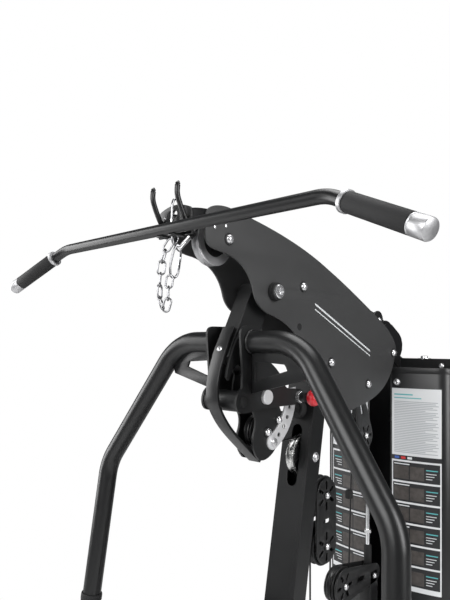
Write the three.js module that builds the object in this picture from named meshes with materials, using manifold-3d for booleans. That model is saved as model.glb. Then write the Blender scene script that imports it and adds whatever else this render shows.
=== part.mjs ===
// Home multi-gym: lat pulldown, press arms, leg developer and a shrouded weight stack.
// Millimetres, +Z up, the user faces -Y, +X is the user's left-hand side seen from the front.
// The origin is on the floor, at the centre of the overall box.
import * as THREE from 'three';
import { mergeVertices } from 'three/addons/utils/BufferGeometryUtils.js';
import Module from 'manifold-3d';

const wasm = await Module();
wasm.setup();

// ---------------------------------------------------------------- driving dimensions
const GAP = 0.3;                 // clearance between pieces that touch
const HALF_LENGTH = 760;         // the base runs from -HALF_LENGTH to +HALF_LENGTH along Y
const RAIL = { half: 30, bottom: 5, top: 65 };
const STABILISER = { width: 60, frontHalf: 290, rearHalf: 340, capLength: 18, capProud: 5 };

const UPRIGHT = { half: 45, depth: 54, footY: -115, footZ: 70, slope: 0.186, topZ: 1800, wall: 3 };
const BOOM = { inner: 47, outer: 52 };

const PULLEY = { cable: 50, rim: 54, half: 12, bore: 5.3 };
const CABLE_R = 2.5;
const BOLT_R = 5;

const FRONT_PULLEY = { y: -167, z: 1944 };
const REAR_PULLEY = { y: 605, z: 1735 };
const BOOM_PULLEY = { y: 540, z: 1788, cable: 23, rim: 26 };
const BOOM_PULLEY_STUD = { y: 500, z: 1728 };
const CAM_PULLEY = { y: -8, z: 1503, cable: 38, rim: 42 };
const UPRIGHT_PULLEY = { y: 167, z: 1420 };
const BLOCK_UPPER = { y: 257, z: 1297 };
const BLOCK_LOWER = { y: 257, z: 1157 };
const LOW_PULLEY = { y: 350, z: 1018 };
const MID_PULLEY = { y: 465, z: 1438, cable: 45, rim: 49 };
const BASE_PULLEY = { y: 157, z: 130 };
const ROW_PULLEY = { y: -600, z: 130 };

const BOOM_PIVOT = { y: -12, z: 1839, r: 12 };
const ADJUST_PIVOT = { y: -48, z: 1592, r: 8 };
const ADJUST_RADIUS = 127;       // from the adjuster pivot to the row of holes
const ADJUST_STEP = 12;          // degrees between two holes
const ADJUST_FIRST = -3.6;       // degrees, the hole that the pin sits in at rest
const CHEEK_RADIUS = 102;        // the cheeks clear the press arms' cross tube as it turns
const BRACKET = { inner: 50, outer: 56 };
const CAM = { inner: 22.3, outer: 28.3 };

const LAT = { y: -300, z: 1955, r: 12.5, bendX: 396, endX: 588, endY: -345, endZ: 1867, gripR: 17 };
const ARM = { r: 25, y: -95, z: 1720, bendX: 192, kneeX: 433, kneeY: -142, kneeZ: 1386,
  endX: 466, endY: -203, endZ: 870 };

const STACK = { y: 655, rodX: 115, rodR: 10, half: 150, halfDepth: 47.5, plate: 30, bottom: 74,
  lowerCount: 11, liftedCount: 2, selectorR: 9, selectorTop: 640 };
const HEAD_TUBE = { half: 262, y0: 634, y1: 676, z0: 1626, z1: 1668 };
const SHROUD = { bottom: 130, top: 1640, sheet: 2.5 };

const PAD_STUDS = [740, 955];    // heights of the two blocks that carry the back pad
const SEAT = { postY: -240, postHalf: 25, top: 476, padTop: 540, padHalf: 165, padBack: -60, padFront: -410 };
const LEG = { y: -470, z: 470, axleR: 10, footY: -505, footZ: 205, rollerR: 45, rollerX0: 45, rollerX1: 195 };

// ---------------------------------------------------------------- materials
const finish = (color, roughness, metalness) =>
  new THREE.MeshStandardMaterial({ color, roughness, metalness });
const BLACK_STEEL = finish(0x2b2c2e, 0.45, 0.3);
const PLATE_STEEL = finish(0x3a3b3d, 0.5, 0.3);
const CHROME = finish(0xd8dadc, 0.15, 1.0);
const ZINC = finish(0xc9cbcd, 0.35, 0.9);
const RUBBER = finish(0x1d1d1e, 0.85, 0.0);
const NYLON = finish(0x151516, 0.4, 0.0);
const VINYL = finish(0x191919, 0.55, 0.0);
const RED = finish(0xc3202c, 0.35, 0.0);
const IRON = finish(0x222325, 0.6, 0.4);

const group = new THREE.Group();

function add(name, geometry, material) {
  const mesh = new THREE.Mesh(geometry, material);
  mesh.name = name;
  group.add(mesh);
}

// ---------------------------------------------------------------- solids and booleans
function toSolid(geometry) {
  const bare = geometry.clone();
  bare.deleteAttribute('normal');
  bare.deleteAttribute('uv');
  const merged = mergeVertices(bare, 1e-4);
  return new wasm.Manifold(new wasm.Mesh({
    numProp: 3,
    vertProperties: new Float32Array(merged.attributes.position.array),
    triVerts: new Uint32Array(merged.index.array),
  }));
}

function toGeometry(solid) {
  const mesh = solid.getMesh();
  const geometry = new THREE.BufferGeometry();
  geometry.setAttribute('position', new THREE.BufferAttribute(mesh.vertProperties, 3));
  geometry.setIndex(new THREE.BufferAttribute(mesh.triVerts, 1));
  return geometry;
}

const join = (...parts) => toGeometry(parts.map(toSolid).reduce((a, b) => a.add(b)));
const cut = (base, ...tools) => toGeometry(tools.map(toSolid).reduce((a, b) => a.subtract(b), toSolid(base)));

function box(x0, x1, y0, y1, z0, z1) {
  const geometry = new THREE.BoxGeometry(x1 - x0, y1 - y0, z1 - z0);
  return geometry.translate((x0 + x1) / 2, (y0 + y1) / 2, (z0 + z1) / 2);
}

// A straight round bar between two points.
function rod(radius, from, to, sides = 16) {
  const a = new THREE.Vector3(...from);
  const b = new THREE.Vector3(...to);
  const geometry = new THREE.CylinderGeometry(radius, radius, a.distanceTo(b), sides);
  const turn = new THREE.Quaternion().setFromUnitVectors(
    new THREE.Vector3(0, 1, 0), b.clone().sub(a).normalize());
  return geometry.applyQuaternion(turn).translate((a.x + b.x) / 2, (a.y + b.y) / 2, (a.z + b.z) / 2);
}

const rodX = (radius, x0, x1, at, sides = 16) => rod(radius, [x0, at.y, at.z], [x1, at.y, at.z], sides);

// An outline drawn in (Y, Z), as a plate from x0 to x1.
function plateYZ(shape, x0, x1, curveSegments = 6) {
  const geometry = new THREE.ExtrudeGeometry(shape, { depth: x1 - x0, bevelEnabled: false, curveSegments });
  const basis = new THREE.Matrix4().makeBasis(
    new THREE.Vector3(0, 1, 0), new THREE.Vector3(0, 0, 1), new THREE.Vector3(1, 0, 0));
  return geometry.applyMatrix4(basis).translate(x0, 0, 0);
}

// An outline drawn in (X, Z), as a plate from y0 to y1.
function plateXZ(shape, y0, y1, curveSegments = 6) {
  const geometry = new THREE.ExtrudeGeometry(shape, { depth: y1 - y0, bevelEnabled: false, curveSegments });
  return geometry.rotateX(Math.PI / 2).translate(0, y1, 0);
}

// An outline drawn in (X, Y), as a plate from z0 to z1.
function plateXY(shape, z0, z1, curveSegments = 6) {
  const geometry = new THREE.ExtrudeGeometry(shape, { depth: z1 - z0, bevelEnabled: false, curveSegments });
  return geometry.translate(0, 0, z0);
}

const polygon = (points) => new THREE.Shape(points.map(([a, b]) => new THREE.Vector2(a, b)));

function circleOutline(radius, sides, Kind = THREE.Shape) {
  const points = [];
  for (let i = 0; i < sides; i += 1) {
    const angle = (i / sides) * Math.PI * 2;
    points.push(new THREE.Vector2(radius * Math.cos(angle), radius * Math.sin(angle)));
  }
  return new Kind(points);
}

// The outline of two discs joined by straight sides, in the plane's own axes.
function linkOutline(a, b, ra, rb, steps = 7) {
  const along = Math.atan2(b.z - a.z, b.y - a.y);
  const lean = Math.acos((ra - rb) / Math.hypot(b.y - a.y, b.z - a.z));
  const points = [];
  const arc = (c, r, from, to) => {
    for (let i = 0; i <= steps; i += 1) {
      const angle = from + ((to - from) * i) / steps;
      points.push([c.y + r * Math.cos(angle), c.z + r * Math.sin(angle)]);
    }
  };
  arc(b, rb, along - lean, along + lean);
  arc(a, ra, along + lean, along + 2 * Math.PI - lean);
  return polygon(points);
}

// An upright slot with round ends, in (X, Z).
function slotOutline(half, low, high) {
  const shape = new THREE.Shape();
  shape.absarc(0, high - half, half, 0, Math.PI, false);
  shape.absarc(0, low + half, half, Math.PI, Math.PI * 2, false);
  return shape;
}

// ---------------------------------------------------------------- swept tubes
// A path that visits its points one by one, so a sweep along it keeps exactly those sections.
class RoutePath extends THREE.Curve {
  constructor(points) {
    super();
    this.points = points;
  }

  getPoint(t) {
    const last = this.points.length - 1;
    const place = Math.min(Math.max(t, 0), 1) * last;
    const index = Math.min(Math.floor(place), last - 1);
    return this.points[index].clone().lerp(this.points[index + 1], place - index);
  }

  getPointAt(t) {
    return this.getPoint(t);
  }

  getTangent(t) {
    const last = this.points.length - 1;
    const index = Math.round(Math.min(Math.max(t, 0), 1) * last);
    const before = this.points[Math.max(index - 1, 0)];
    const here = this.points[index];
    const after = this.points[Math.min(index + 1, last)];
    const arriving = here.clone().sub(before).normalize();
    const leaving = after.clone().sub(here).normalize();
    return arriving.add(leaving).normalize();
  }

  getTangentAt(t) {
    return this.getTangent(t);
  }
}

function sweep(points, shape) {
  return new THREE.ExtrudeGeometry(shape, {
    steps: points.length - 1,
    extrudePath: new RoutePath(points),
    curveSegments: 1,
  });
}

function tube(points, radius, sides = 12, bore = 0) {
  const shape = circleOutline(radius, sides);
  if (bore > 0) shape.holes.push(circleOutline(bore, sides, THREE.Path));
  return sweep(points, shape);
}

// Corner points joined by straight runs, with every inner corner rounded to a radius.
function roundedRoute(corners, radius, steps) {
  const points = [corners[0].clone()];
  for (let i = 1; i < corners.length - 1; i += 1) {
    const toBefore = corners[i - 1].clone().sub(corners[i]).normalize();
    const toAfter = corners[i + 1].clone().sub(corners[i]).normalize();
    const half = toBefore.angleTo(toAfter) / 2;
    const centre = toBefore.clone().add(toAfter).normalize()
      .multiplyScalar(radius / Math.sin(half)).add(corners[i]);
    const start = toBefore.multiplyScalar(radius / Math.tan(half)).add(corners[i]).sub(centre);
    const end = toAfter.multiplyScalar(radius / Math.tan(half)).add(corners[i]).sub(centre);
    const axis = start.clone().cross(end).normalize();
    const turn = start.angleTo(end);
    for (let s = 0; s <= steps; s += 1) {
      points.push(start.clone().applyAxisAngle(axis, (turn * s) / steps).add(centre));
    }
  }
  points.push(corners[corners.length - 1].clone());
  return points;
}

// ---------------------------------------------------------------- cables
// A cable in the X = 0 plane, from a start point, round pulleys, to an end point.
// turn is +1 where it goes round anticlockwise seen from +X, and -1 where it goes clockwise.
function cableRoute(start, pulleys, end, degreesPerStep = 22) {
  const stops = [{ ...start, turn: 0, cable: 0 }, ...pulleys, { ...end, turn: 0, cable: 0 }];
  const signed = (stop) => stop.turn * (stop.cable ?? PULLEY.cable);
  const normals = [];
  for (let i = 0; i < stops.length - 1; i += 1) {
    const a = stops[i];
    const b = stops[i + 1];
    const distance = Math.hypot(b.y - a.y, b.z - a.z);
    normals.push(Math.atan2(b.z - a.z, b.y - a.y) + Math.acos((signed(b) - signed(a)) / distance));
  }
  const at = (stop, angle) => new THREE.Vector3(
    0, stop.y - signed(stop) * Math.cos(angle), stop.z - signed(stop) * Math.sin(angle));
  const points = [at(stops[0], 0)];
  for (let i = 1; i < stops.length - 1; i += 1) {
    let sweepAngle = normals[i] - normals[i - 1];
    while (sweepAngle * stops[i].turn < 0) sweepAngle += stops[i].turn * Math.PI * 2;
    while (Math.abs(sweepAngle) > Math.PI * 2) sweepAngle -= stops[i].turn * Math.PI * 2;
    const steps = Math.max(2, Math.ceil(Math.abs(sweepAngle) / THREE.MathUtils.degToRad(degreesPerStep)));
    for (let s = 0; s <= steps; s += 1) {
      points.push(at(stops[i], normals[i - 1] + (sweepAngle * s) / steps));
    }
  }
  points.push(at(stops[stops.length - 1], 0));
  return points;
}

const cable = (start, pulleys, end) => tube(cableRoute(start, pulleys, end), CABLE_R, 8);

// ---------------------------------------------------------------- pulleys
function pulley(name, at, half = PULLEY.half) {
  const run = at.cable ?? PULLEY.cable;
  const rim = at.rim ?? PULLEY.rim;
  const groove = run - CABLE_R - 1.3;
  const profile = [
    [PULLEY.bore, -half], [12, -half], [14, -half + 3], [rim - 10, -half + 3], [rim, -half + 1],
    [rim, -half + 4], [groove, -CABLE_R - 0.5], [groove, CABLE_R + 0.5], [rim, half - 4],
    [rim, half - 1], [rim - 10, half - 3], [14, half - 3], [12, half], [PULLEY.bore, half],
    [PULLEY.bore, -half],
  ].map(([r, h]) => new THREE.Vector2(r, h));
  const wheel = new THREE.LatheGeometry(profile, 18);
  wheel.rotateZ(-Math.PI / 2).translate(0, at.y, at.z);
  add(name, toGeometry(toSolid(wheel)), NYLON);
}

// ---------------------------------------------------------------- base
function stabiliser(name, y0, half) {
  const y1 = y0 + STABILISER.width;
  const body = box(-half, half, y0, y1, RAIL.bottom, RAIL.top);
  const capY = name.startsWith('front') ? [y0, y1 + STABILISER.capProud] : [y0 - STABILISER.capProud, y1];
  const caps = [-1, 1].map((side) => {
    const outer = side * (half + STABILISER.capProud);
    const inner = side * (half - STABILISER.capLength);
    return box(Math.min(outer, inner), Math.max(outer, inner), ...capY, 0, RAIL.top + STABILISER.capProud);
  });
  const extras = name.startsWith('front') ? [footPlate(y0)] : [];
  add(name, join(body, ...caps, ...extras), BLACK_STEEL);
}

// The sloping tread that the feet push against when rowing.
function footPlate(y0) {
  const profile = polygon([[y0 + 22, 50], [y0 + 30, 50], [y0 + 62, 165], [y0 + 54, 168]]);
  return plateYZ(profile, -150, 150);
}

function ears(at, x0, x1, outline) {
  return [plateYZ(outline, x0, x1), plateYZ(outline, -x1, -x0)];
}

function pulleyEars(at, reach = 40) {
  const outline = linkOutline({ y: at.y, z: RAIL.top - 10 }, at, reach, 20, 5);
  return [...ears(at, 15, 20, outline), rodX(BOLT_R, -16, 16, at, 12)];
}

function baseRail() {
  const y0 = -HALF_LENGTH + STABILISER.width + STABILISER.capProud + GAP;
  const y1 = HALF_LENGTH - STABILISER.width - STABILISER.capProud - GAP;
  const rail = box(-RAIL.half, RAIL.half, y0 - STABILISER.capProud, y1 + STABILISER.capProud,
    RAIL.bottom, RAIL.top);
  const stackPlate = box(-STACK.half, STACK.half, STACK.y - 52, STACK.y + 40, RAIL.top - 8, STACK.bottom - 1);
  const under = box(-60, 60, -HALF_LENGTH, HALF_LENGTH, -60, RAIL.bottom);
  const inside = box(-13, 13, BASE_PULLEY.y - 60, BASE_PULLEY.y + 60, RAIL.top - 4, RAIL.top + 40);
  const insideFront = box(-13, 13, ROW_PULLEY.y - 60, ROW_PULLEY.y + 60, RAIL.top - 4, RAIL.top + 40);
  const whole = join(rail, stackPlate, ...pulleyEars(BASE_PULLEY), ...pulleyEars(ROW_PULLEY));
  add('base_rail', cut(whole, under, inside, insideFront), BLACK_STEEL);
}

// ---------------------------------------------------------------- upright
const uprightFront = (z) => UPRIGHT.footY + UPRIGHT.slope * (z - UPRIGHT.footZ);
const uprightDepth = UPRIGHT.depth * Math.hypot(1, UPRIGHT.slope);

function uprightOutline(inset) {
  const low = UPRIGHT.footZ - 30;
  const high = UPRIGHT.topZ;
  const step = inset * Math.hypot(1, UPRIGHT.slope);
  return polygon([
    [uprightFront(low) + step, low], [uprightFront(low) + uprightDepth - step, low],
    [uprightFront(high) + uprightDepth - step, high], [uprightFront(high) + step, high],
  ]);
}

function uprightEnvelope(margin) {
  return plateYZ(uprightOutline(-margin), -UPRIGHT.half - margin, UPRIGHT.half + margin);
}

function upright() {
  const inner = UPRIGHT.half - UPRIGHT.wall;
  const bore = plateYZ(uprightOutline(UPRIGHT.wall), -inner, inner);
  bore.translate(0, 0.02 * UPRIGHT.slope, 0.02);
  const stubY = uprightFront(1545);
  const stub = rod(15, [0, stubY - 22, 1545], [0, stubY + 10, 1545], 12);
  const tab = box(-5, 5, uprightFront(1670) + uprightDepth - 8, BLOCK_UPPER.y + PULLEY.cable + 12, 1650, 1690);
  const standOffs = PAD_STUDS.map((z) =>
    box(-22, 22, uprightFront(z) - 24.5, uprightFront(z) + 6, z - 22, z + 22));
  const shell = cut(uprightEnvelope(0), bore);
  const below = box(-60, 60, -200, 100, -20, RAIL.top + GAP);
  const pulleySlot = plateXZ(slotOutline(16, 1345, 1503), 60, 260, 6);
  const cableSlot = box(-9, 9, -160, 0, RAIL.top, 100);
  const opened = cut(shell, pulleySlot, cableSlot);
  const axle = rodX(BOLT_R, -inner - 1, inner + 1, UPRIGHT_PULLEY, 12);
  add('upright', cut(join(opened, axle, stub, tab, ...standOffs), below), BLACK_STEEL);
}

// ---------------------------------------------------------------- boom
function boomOutline() {
  const shape = new THREE.Shape();
  shape.moveTo(-215, 1920);
  shape.quadraticCurveTo(-237, 1924, -238, 1950);
  shape.lineTo(-236, 1988);
  shape.quadraticCurveTo(-232, 2008, -200, 2013);
  shape.quadraticCurveTo(-175, 2017, -150, 2011);
  shape.bezierCurveTo(-20, 1992, 110, 1960, 215, 1914);
  shape.bezierCurveTo(300, 1880, 400, 1832, 500, 1782);
  shape.quadraticCurveTo(570, 1748, 591, 1706);
  shape.bezierCurveTo(575, 1600, 500, 1556, 377, 1537);
  shape.lineTo(324, 1527);
  shape.bezierCurveTo(240, 1570, 150, 1670, 91, 1725);
  shape.quadraticCurveTo(50, 1768, -27, 1786);
  shape.quadraticCurveTo(-70, 1797, -82, 1830);
  shape.bezierCurveTo(-95, 1880, -130, 1905, -180, 1914);
  shape.quadraticCurveTo(-200, 1916, -215, 1920);
  return shape;
}

const BOOM_STUDS = [FRONT_PULLEY, { y: 104, z: 1859 }, { y: 421, z: 1597 }, { y: 573, z: 1686 }, BOOM_PULLEY_STUD];

function boomPlates() {
  const pivotHole = rodX(BOOM_PIVOT.r + GAP, -60, 60, BOOM_PIVOT, 20);
  const left = plateYZ(boomOutline(), -BOOM.outer, -BOOM.inner, 8);
  const right = plateYZ(boomOutline(), BOOM.inner, BOOM.outer, 8);
  const studs = BOOM_STUDS.map((at) => rodX(BOLT_R, -BOOM.inner + GAP, BOOM.inner + 1, at, 12));
  add('boom_plate_left', cut(left, pivotHole), PLATE_STEEL);
  add('boom_plate_right', cut(join(right, ...studs), pivotHole), PLATE_STEEL);
}

function pivotAxle() {
  const head = (side) => rodX(17, side * (BOOM.outer + GAP), side * 66, BOOM_PIVOT, 16);
  const tip = (side) => rodX(12, side * 60, side * 73, BOOM_PIVOT, 12);
  add('pivot_axle', join(rodX(BOOM_PIVOT.r, -60, 60, BOOM_PIVOT, 20), head(1), head(-1), tip(1), tip(-1)), CHROME);
}

// The plate at the boom's nose: two upright fingers behind the bar and two short lips under it.
function barRestBracket() {
  const face = new THREE.Shape();
  face.moveTo(-53, 1942);
  face.lineTo(53, 1942);
  face.lineTo(53, 1986);
  face.quadraticCurveTo(52, 1998, 40, 2001);
  face.quadraticCurveTo(0, 2016, -40, 2001);
  face.quadraticCurveTo(-52, 1998, -53, 1986);
  const front = plateXZ(face, -278, -272);
  const flange = polygon([[-277, 1958], [-277, 1996], [-200, 2004], [-190, 2004], [-190, 1996], [-240, 1958]]);
  const flanges = [plateYZ(flange, 41, 46), plateYZ(flange, -46, -41)];
  const hole = rod(8, [0, -290, 1990], [0, -260, 1990], 12);
  const lips = [-1, 1].map((side) => {
    const [x0, x1] = side > 0 ? [9, 28] : [-28, -9];
    return box(x0, x1, -305, -272, 1939, 1942.2);
  });
  const finger = (side) => tube(roundedRoute([
    new THREE.Vector3(side * 39, -273, 1960),
    new THREE.Vector3(side * 39, -296, 1998),
    new THREE.Vector3(side * 39, -305, 2022),
    new THREE.Vector3(side * 39, -303, 2046),
  ], 18, 4), 5.6, 10);
  const body = cut(join(front, ...flanges, ...lips), hole);
  add('bar_rest_bracket', join(body, finger(1), finger(-1)), BLACK_STEEL);
}

// ---------------------------------------------------------------- lat bar
function latBar() {
  const point = (side, x, y, z) => new THREE.Vector3(side * x, y, z);
  const corners = [point(-1, LAT.endX, LAT.endY, LAT.endZ), point(-1, LAT.bendX, LAT.y, LAT.z),
    point(1, LAT.bendX, LAT.y, LAT.z), point(1, LAT.endX, LAT.endY, LAT.endZ)];
  const bar = tube(roundedRoute(corners, 90, 5), LAT.r, 14);
  const along = corners[3].clone().sub(corners[2]).normalize();
  const gripStart = 42;
  const collar = 9;
  const capLength = 32;
  const total = corners[3].distanceTo(corners[2]);
  const extras = [];
  for (const side of [-1, 1]) {
    const from = (distance) => {
      const p = corners[2].clone().addScaledVector(along, distance);
      return [side * p.x, p.y, p.z];
    };
    extras.push(rod(19, from(gripStart), from(gripStart + collar), 16));
    extras.push(rod(LAT.gripR, from(total - capLength), from(total), 16));
    const sleeve = rod(LAT.gripR, from(gripStart + collar + GAP), from(total - capLength - GAP), 16);
    const core = rod(LAT.r + 0.9, from(gripStart), from(total), 20);
    add(side > 0 ? 'lat_grip_right' : 'lat_grip_left', cut(sleeve, core), RUBBER);
  }
  add('lat_bar', join(bar, ...extras), BLACK_STEEL);
}

// ---------------------------------------------------------------- swing arm and its lower lever
function swingArm() {
  const beam = plateYZ(polygon([[-59.8, 1836], [-140.2, 1686], [-76.8, 1652], [3.6, 1802], [10, 1850],
    [-30, 1862]]), -22, 22);
  const hub = rodX(25, -44, 44, BOOM_PIVOT, 20);
  const bore = rodX(BOOM_PIVOT.r + GAP, -60, 60, BOOM_PIVOT, 20);
  add('swing_arm', cut(join(beam, hub), bore), BLACK_STEEL);
}

// The curved flat guard in front of the lower lever, bent from one strip.
function guardBand() {
  const route = [[-113.5, 1756], [-131, 1724], [-146, 1696], [-165, 1642], [-169, 1601], [-160, 1567], [-124, 1518],
    [-57, 1458], [-22, 1430]];
  const curve = new THREE.CatmullRomCurve3(route.map(([y, z]) => new THREE.Vector3(0, y, z)), false, 'centripetal');
  const steps = 26;
  const thickness = 7;
  const outer = [];
  const inner = [];
  for (let i = 0; i <= steps; i += 1) {
    const p = curve.getPoint(i / steps);
    const t = curve.getTangent(i / steps);
    outer.push([p.y, p.z]);
    inner.push([p.y - t.z * thickness, p.z + t.y * thickness]);
  }
  add('guard_band', plateYZ(polygon([...outer, ...inner.reverse()]), -18, 18), BLACK_STEEL);
}

function camPlates() {
  const shape = new THREE.Shape();
  shape.moveTo(-70, 1738);
  shape.lineTo(-104, 1742);
  shape.quadraticCurveTo(-142, 1690, -150, 1640);
  shape.lineTo(-142, 1633);
  for (let degrees = 148; degrees >= 110; degrees -= 9.5) {
    const angle = THREE.MathUtils.degToRad(degrees);
    shape.lineTo(ADJUST_PIVOT.y + CHEEK_RADIUS * Math.cos(angle), ADJUST_PIVOT.z + CHEEK_RADIUS * Math.sin(angle));
  }
  shape.lineTo(-68, 1640);
  shape.quadraticCurveTo(-86, 1592, -54, 1548);
  shape.quadraticCurveTo(-44, 1528, -58, 1500);
  shape.quadraticCurveTo(-66, 1466, -38, 1440);
  shape.quadraticCurveTo(-15, 1430, 14, 1450);
  shape.quadraticCurveTo(50, 1480, 56, 1520);
  shape.quadraticCurveTo(50, 1560, 0, 1604);
  shape.quadraticCurveTo(-20, 1650, -28, 1735);
  const plates = [plateYZ(shape, CAM.inner, CAM.outer), plateYZ(shape, -CAM.outer, -CAM.inner)];
  const bolts = [CAM_PULLEY, { y: 34, z: 1528 }, { y: -52, z: 1645 }]
    .map((at) => rodX(BOLT_R, -CAM.inner - 1, CAM.inner + 1, at, 12));
  const sleeve = rodX(17, -CAM.inner - 1, CAM.inner + 1, ADJUST_PIVOT, 16);
  const bore = rodX(ADJUST_PIVOT.r + GAP, -60, 60, ADJUST_PIVOT, 16);
  add('cam_plates', cut(join(...plates, sleeve, ...bolts), bore), BLACK_STEEL);
}

const adjustHole = (index) => {
  const angle = THREE.MathUtils.degToRad(ADJUST_FIRST - ADJUST_STEP * index);
  return { y: ADJUST_PIVOT.y + ADJUST_RADIUS * Math.cos(angle), z: ADJUST_PIVOT.z + ADJUST_RADIUS * Math.sin(angle) };
};

// The zinc-plated sector with the row of holes that the pull pin drops into.
function adjusterPlate() {
  const width = 24;
  const from = THREE.MathUtils.degToRad(ADJUST_FIRST + 9);
  const to = THREE.MathUtils.degToRad(ADJUST_FIRST - ADJUST_STEP * 5);
  const outline = [];
  const steps = 8;
  const polar = (radius, angle) => [ADJUST_PIVOT.y + radius * Math.cos(angle), ADJUST_PIVOT.z + radius * Math.sin(angle)];
  for (let i = 0; i <= steps; i += 1) outline.push(polar(ADJUST_RADIUS + width, from + ((to - from) * i) / steps));
  const [endY, endZ] = polar(ADJUST_RADIUS, to);
  for (let i = 1; i < 6; i += 1) {
    const angle = to - (Math.PI * i) / 6;
    outline.push([endY + width * Math.cos(angle), endZ + width * Math.sin(angle)]);
  }
  for (let i = steps; i >= 0; i -= 1) outline.push(polar(ADJUST_RADIUS - width, from + ((to - from) * i) / steps));
  const x0 = CAM.outer + GAP;
  const holes = [0, 1, 2, 3, 4].map((index) => rodX(BOLT_R + GAP, x0 - 5, x0 + 10, adjustHole(index), 12));
  add('adjuster_plate', cut(plateYZ(polygon(outline), x0, x0 + 5), ...holes), ZINC);
}

function adjusterAxle() {
  const shaft = rodX(ADJUST_PIVOT.r, -62, 62, ADJUST_PIVOT, 16);
  const heads = [1, -1].map((side) => rodX(17, side * (BRACKET.outer + GAP), side * 66, ADJUST_PIVOT, 16));
  add('adjuster_axle', join(shaft, ...heads), CHROME);
}

// ---------------------------------------------------------------- press arms
const PRESS_TUBE = { y: -122, z: 1586 };
const PIN = adjustHole(0);

function pressBracket() {
  const shape = new THREE.Shape();
  shape.moveTo(-133, 1736);
  shape.quadraticCurveTo(-133, 1757, -112, 1757);
  shape.lineTo(-84, 1757);
  shape.quadraticCurveTo(-62, 1757, -62, 1736);
  shape.lineTo(-62, 1700);
  shape.quadraticCurveTo(-58, 1684, -36, 1676);
  shape.quadraticCurveTo(10, 1650, 26, 1616);
  shape.quadraticCurveTo(30, 1608, 44, 1607);
  shape.lineTo(82, 1604);
  shape.quadraticCurveTo(99, 1602, 99, 1584);
  shape.quadraticCurveTo(99, 1566, 82, 1565);
  shape.lineTo(-60, 1566);
  shape.quadraticCurveTo(-90, 1560, -122, 1560);
  shape.quadraticCurveTo(-148, 1560, -148, 1586);
  shape.quadraticCurveTo(-147, 1606, -128, 1616);
  shape.lineTo(-126, 1650);
  const plates = [plateYZ(shape, BRACKET.inner, BRACKET.outer), plateYZ(shape, -BRACKET.outer, -BRACKET.inner)];
  const crossTube = rodX(24, -BRACKET.inner - 1, BRACKET.inner + 1, PRESS_TUBE, 20);
  const housing = rodX(12, BRACKET.outer - 1, 80, PIN, 16);
  const axleHole = rodX(ADJUST_PIVOT.r + GAP, -60, 60, ADJUST_PIVOT, 16);
  const pinHole = rodX(BOLT_R + GAP, 40, 90, PIN, 12);
  add('press_bracket', cut(join(...plates, crossTube, housing), axleHole, pinHole), BLACK_STEEL);
}

function pressArm(side) {
  const point = (x, y, z) => new THREE.Vector3(side * x, y, z);
  const route = roundedRoute([point(BRACKET.outer + GAP, ARM.y, ARM.z), point(ARM.bendX, ARM.y, ARM.z),
    point(ARM.kneeX, ARM.kneeY, ARM.kneeZ), point(ARM.endX, ARM.endY, ARM.endZ)], 130, 6);
  const arm = tube(route, ARM.r, 14);
  const web = polygon([[side * (BRACKET.outer + GAP), 1702], [side * 172, 1702], [side * 214, 1660],
    [side * 206, 1640], [side * (BRACKET.outer + GAP), 1603]]);
  const opening = polygon([[side * 68, 1676], [side * 152, 1671], [side * 158, 1658], [side * 68, 1632]]);
  const gusset = cut(plateXZ(web, ARM.y - 3, ARM.y + 3), plateXZ(opening, ARM.y - 10, ARM.y + 10));
  add(side > 0 ? 'press_arm_right' : 'press_arm_left', join(arm, gusset), BLACK_STEEL);
}

function pressGrip(side) {
  const low = new THREE.Vector3(ARM.endX, ARM.endY, ARM.endZ);
  const up = new THREE.Vector3(ARM.kneeX, ARM.kneeY, ARM.kneeZ).sub(low).normalize();
  const from = (distance) => {
    const p = low.clone().addScaledVector(up, distance);
    return [side * p.x, p.y, p.z];
  };
  const sleeve = rod(29, from(4), from(160), 14);
  const core = rod(ARM.r + 0.9, from(-20), from(200), 20);
  add(side > 0 ? 'press_grip_right' : 'press_grip_left', cut(sleeve, core), RUBBER);
}

function pullPin() {
  const profile = [[0, 34], [BOLT_R, 34], [BOLT_R, 91], [16, 91], [20, 97], [20, 111], [15, 117], [0, 117]]
    .map(([r, h]) => new THREE.Vector2(r, h));
  const pin = new THREE.LatheGeometry(profile, 16);
  pin.rotateZ(-Math.PI / 2).translate(0, PIN.y, PIN.z);
  add('pull_pin', toGeometry(toSolid(pin)), RED);
}

// ---------------------------------------------------------------- pulley brackets
function pulleyBlock() {
  const outline = linkOutline(BLOCK_LOWER, BLOCK_UPPER, 47, 47);
  const axles = [BLOCK_UPPER, BLOCK_LOWER].map((at) => rodX(BOLT_R, -16, 16, at, 12));
  add('pulley_block', join(...ears(null, 15, 20, outline), ...axles), BLACK_STEEL);
}

function midPulleyBracket() {
  const top = BOOM_STUDS[2];
  const outline = linkOutline(MID_PULLEY, top, 40, 18);
  const axle = rodX(BOLT_R, -16, 16, MID_PULLEY, 12);
  const spacer = rodX(11, -16, 16, top, 12);
  const bore = rodX(BOLT_R + GAP, -40, 40, top, 12);
  add('mid_pulley_bracket', cut(join(...ears(null, 15, 20, outline), axle, spacer), bore), BLACK_STEEL);
}

function boomPulleyBracket() {
  const outline = linkOutline(BOOM_PULLEY_STUD, BOOM_PULLEY, 16, 29);
  const axle = rodX(BOLT_R, -16, 16, BOOM_PULLEY, 12);
  const spacer = rodX(11, -16, 16, BOOM_PULLEY_STUD, 12);
  const bore = rodX(BOLT_R + GAP, -40, 40, BOOM_PULLEY_STUD, 12);
  add('boom_pulley_bracket', cut(join(...ears(null, 15, 20, outline), axle, spacer), bore), BLACK_STEEL);
}

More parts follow.
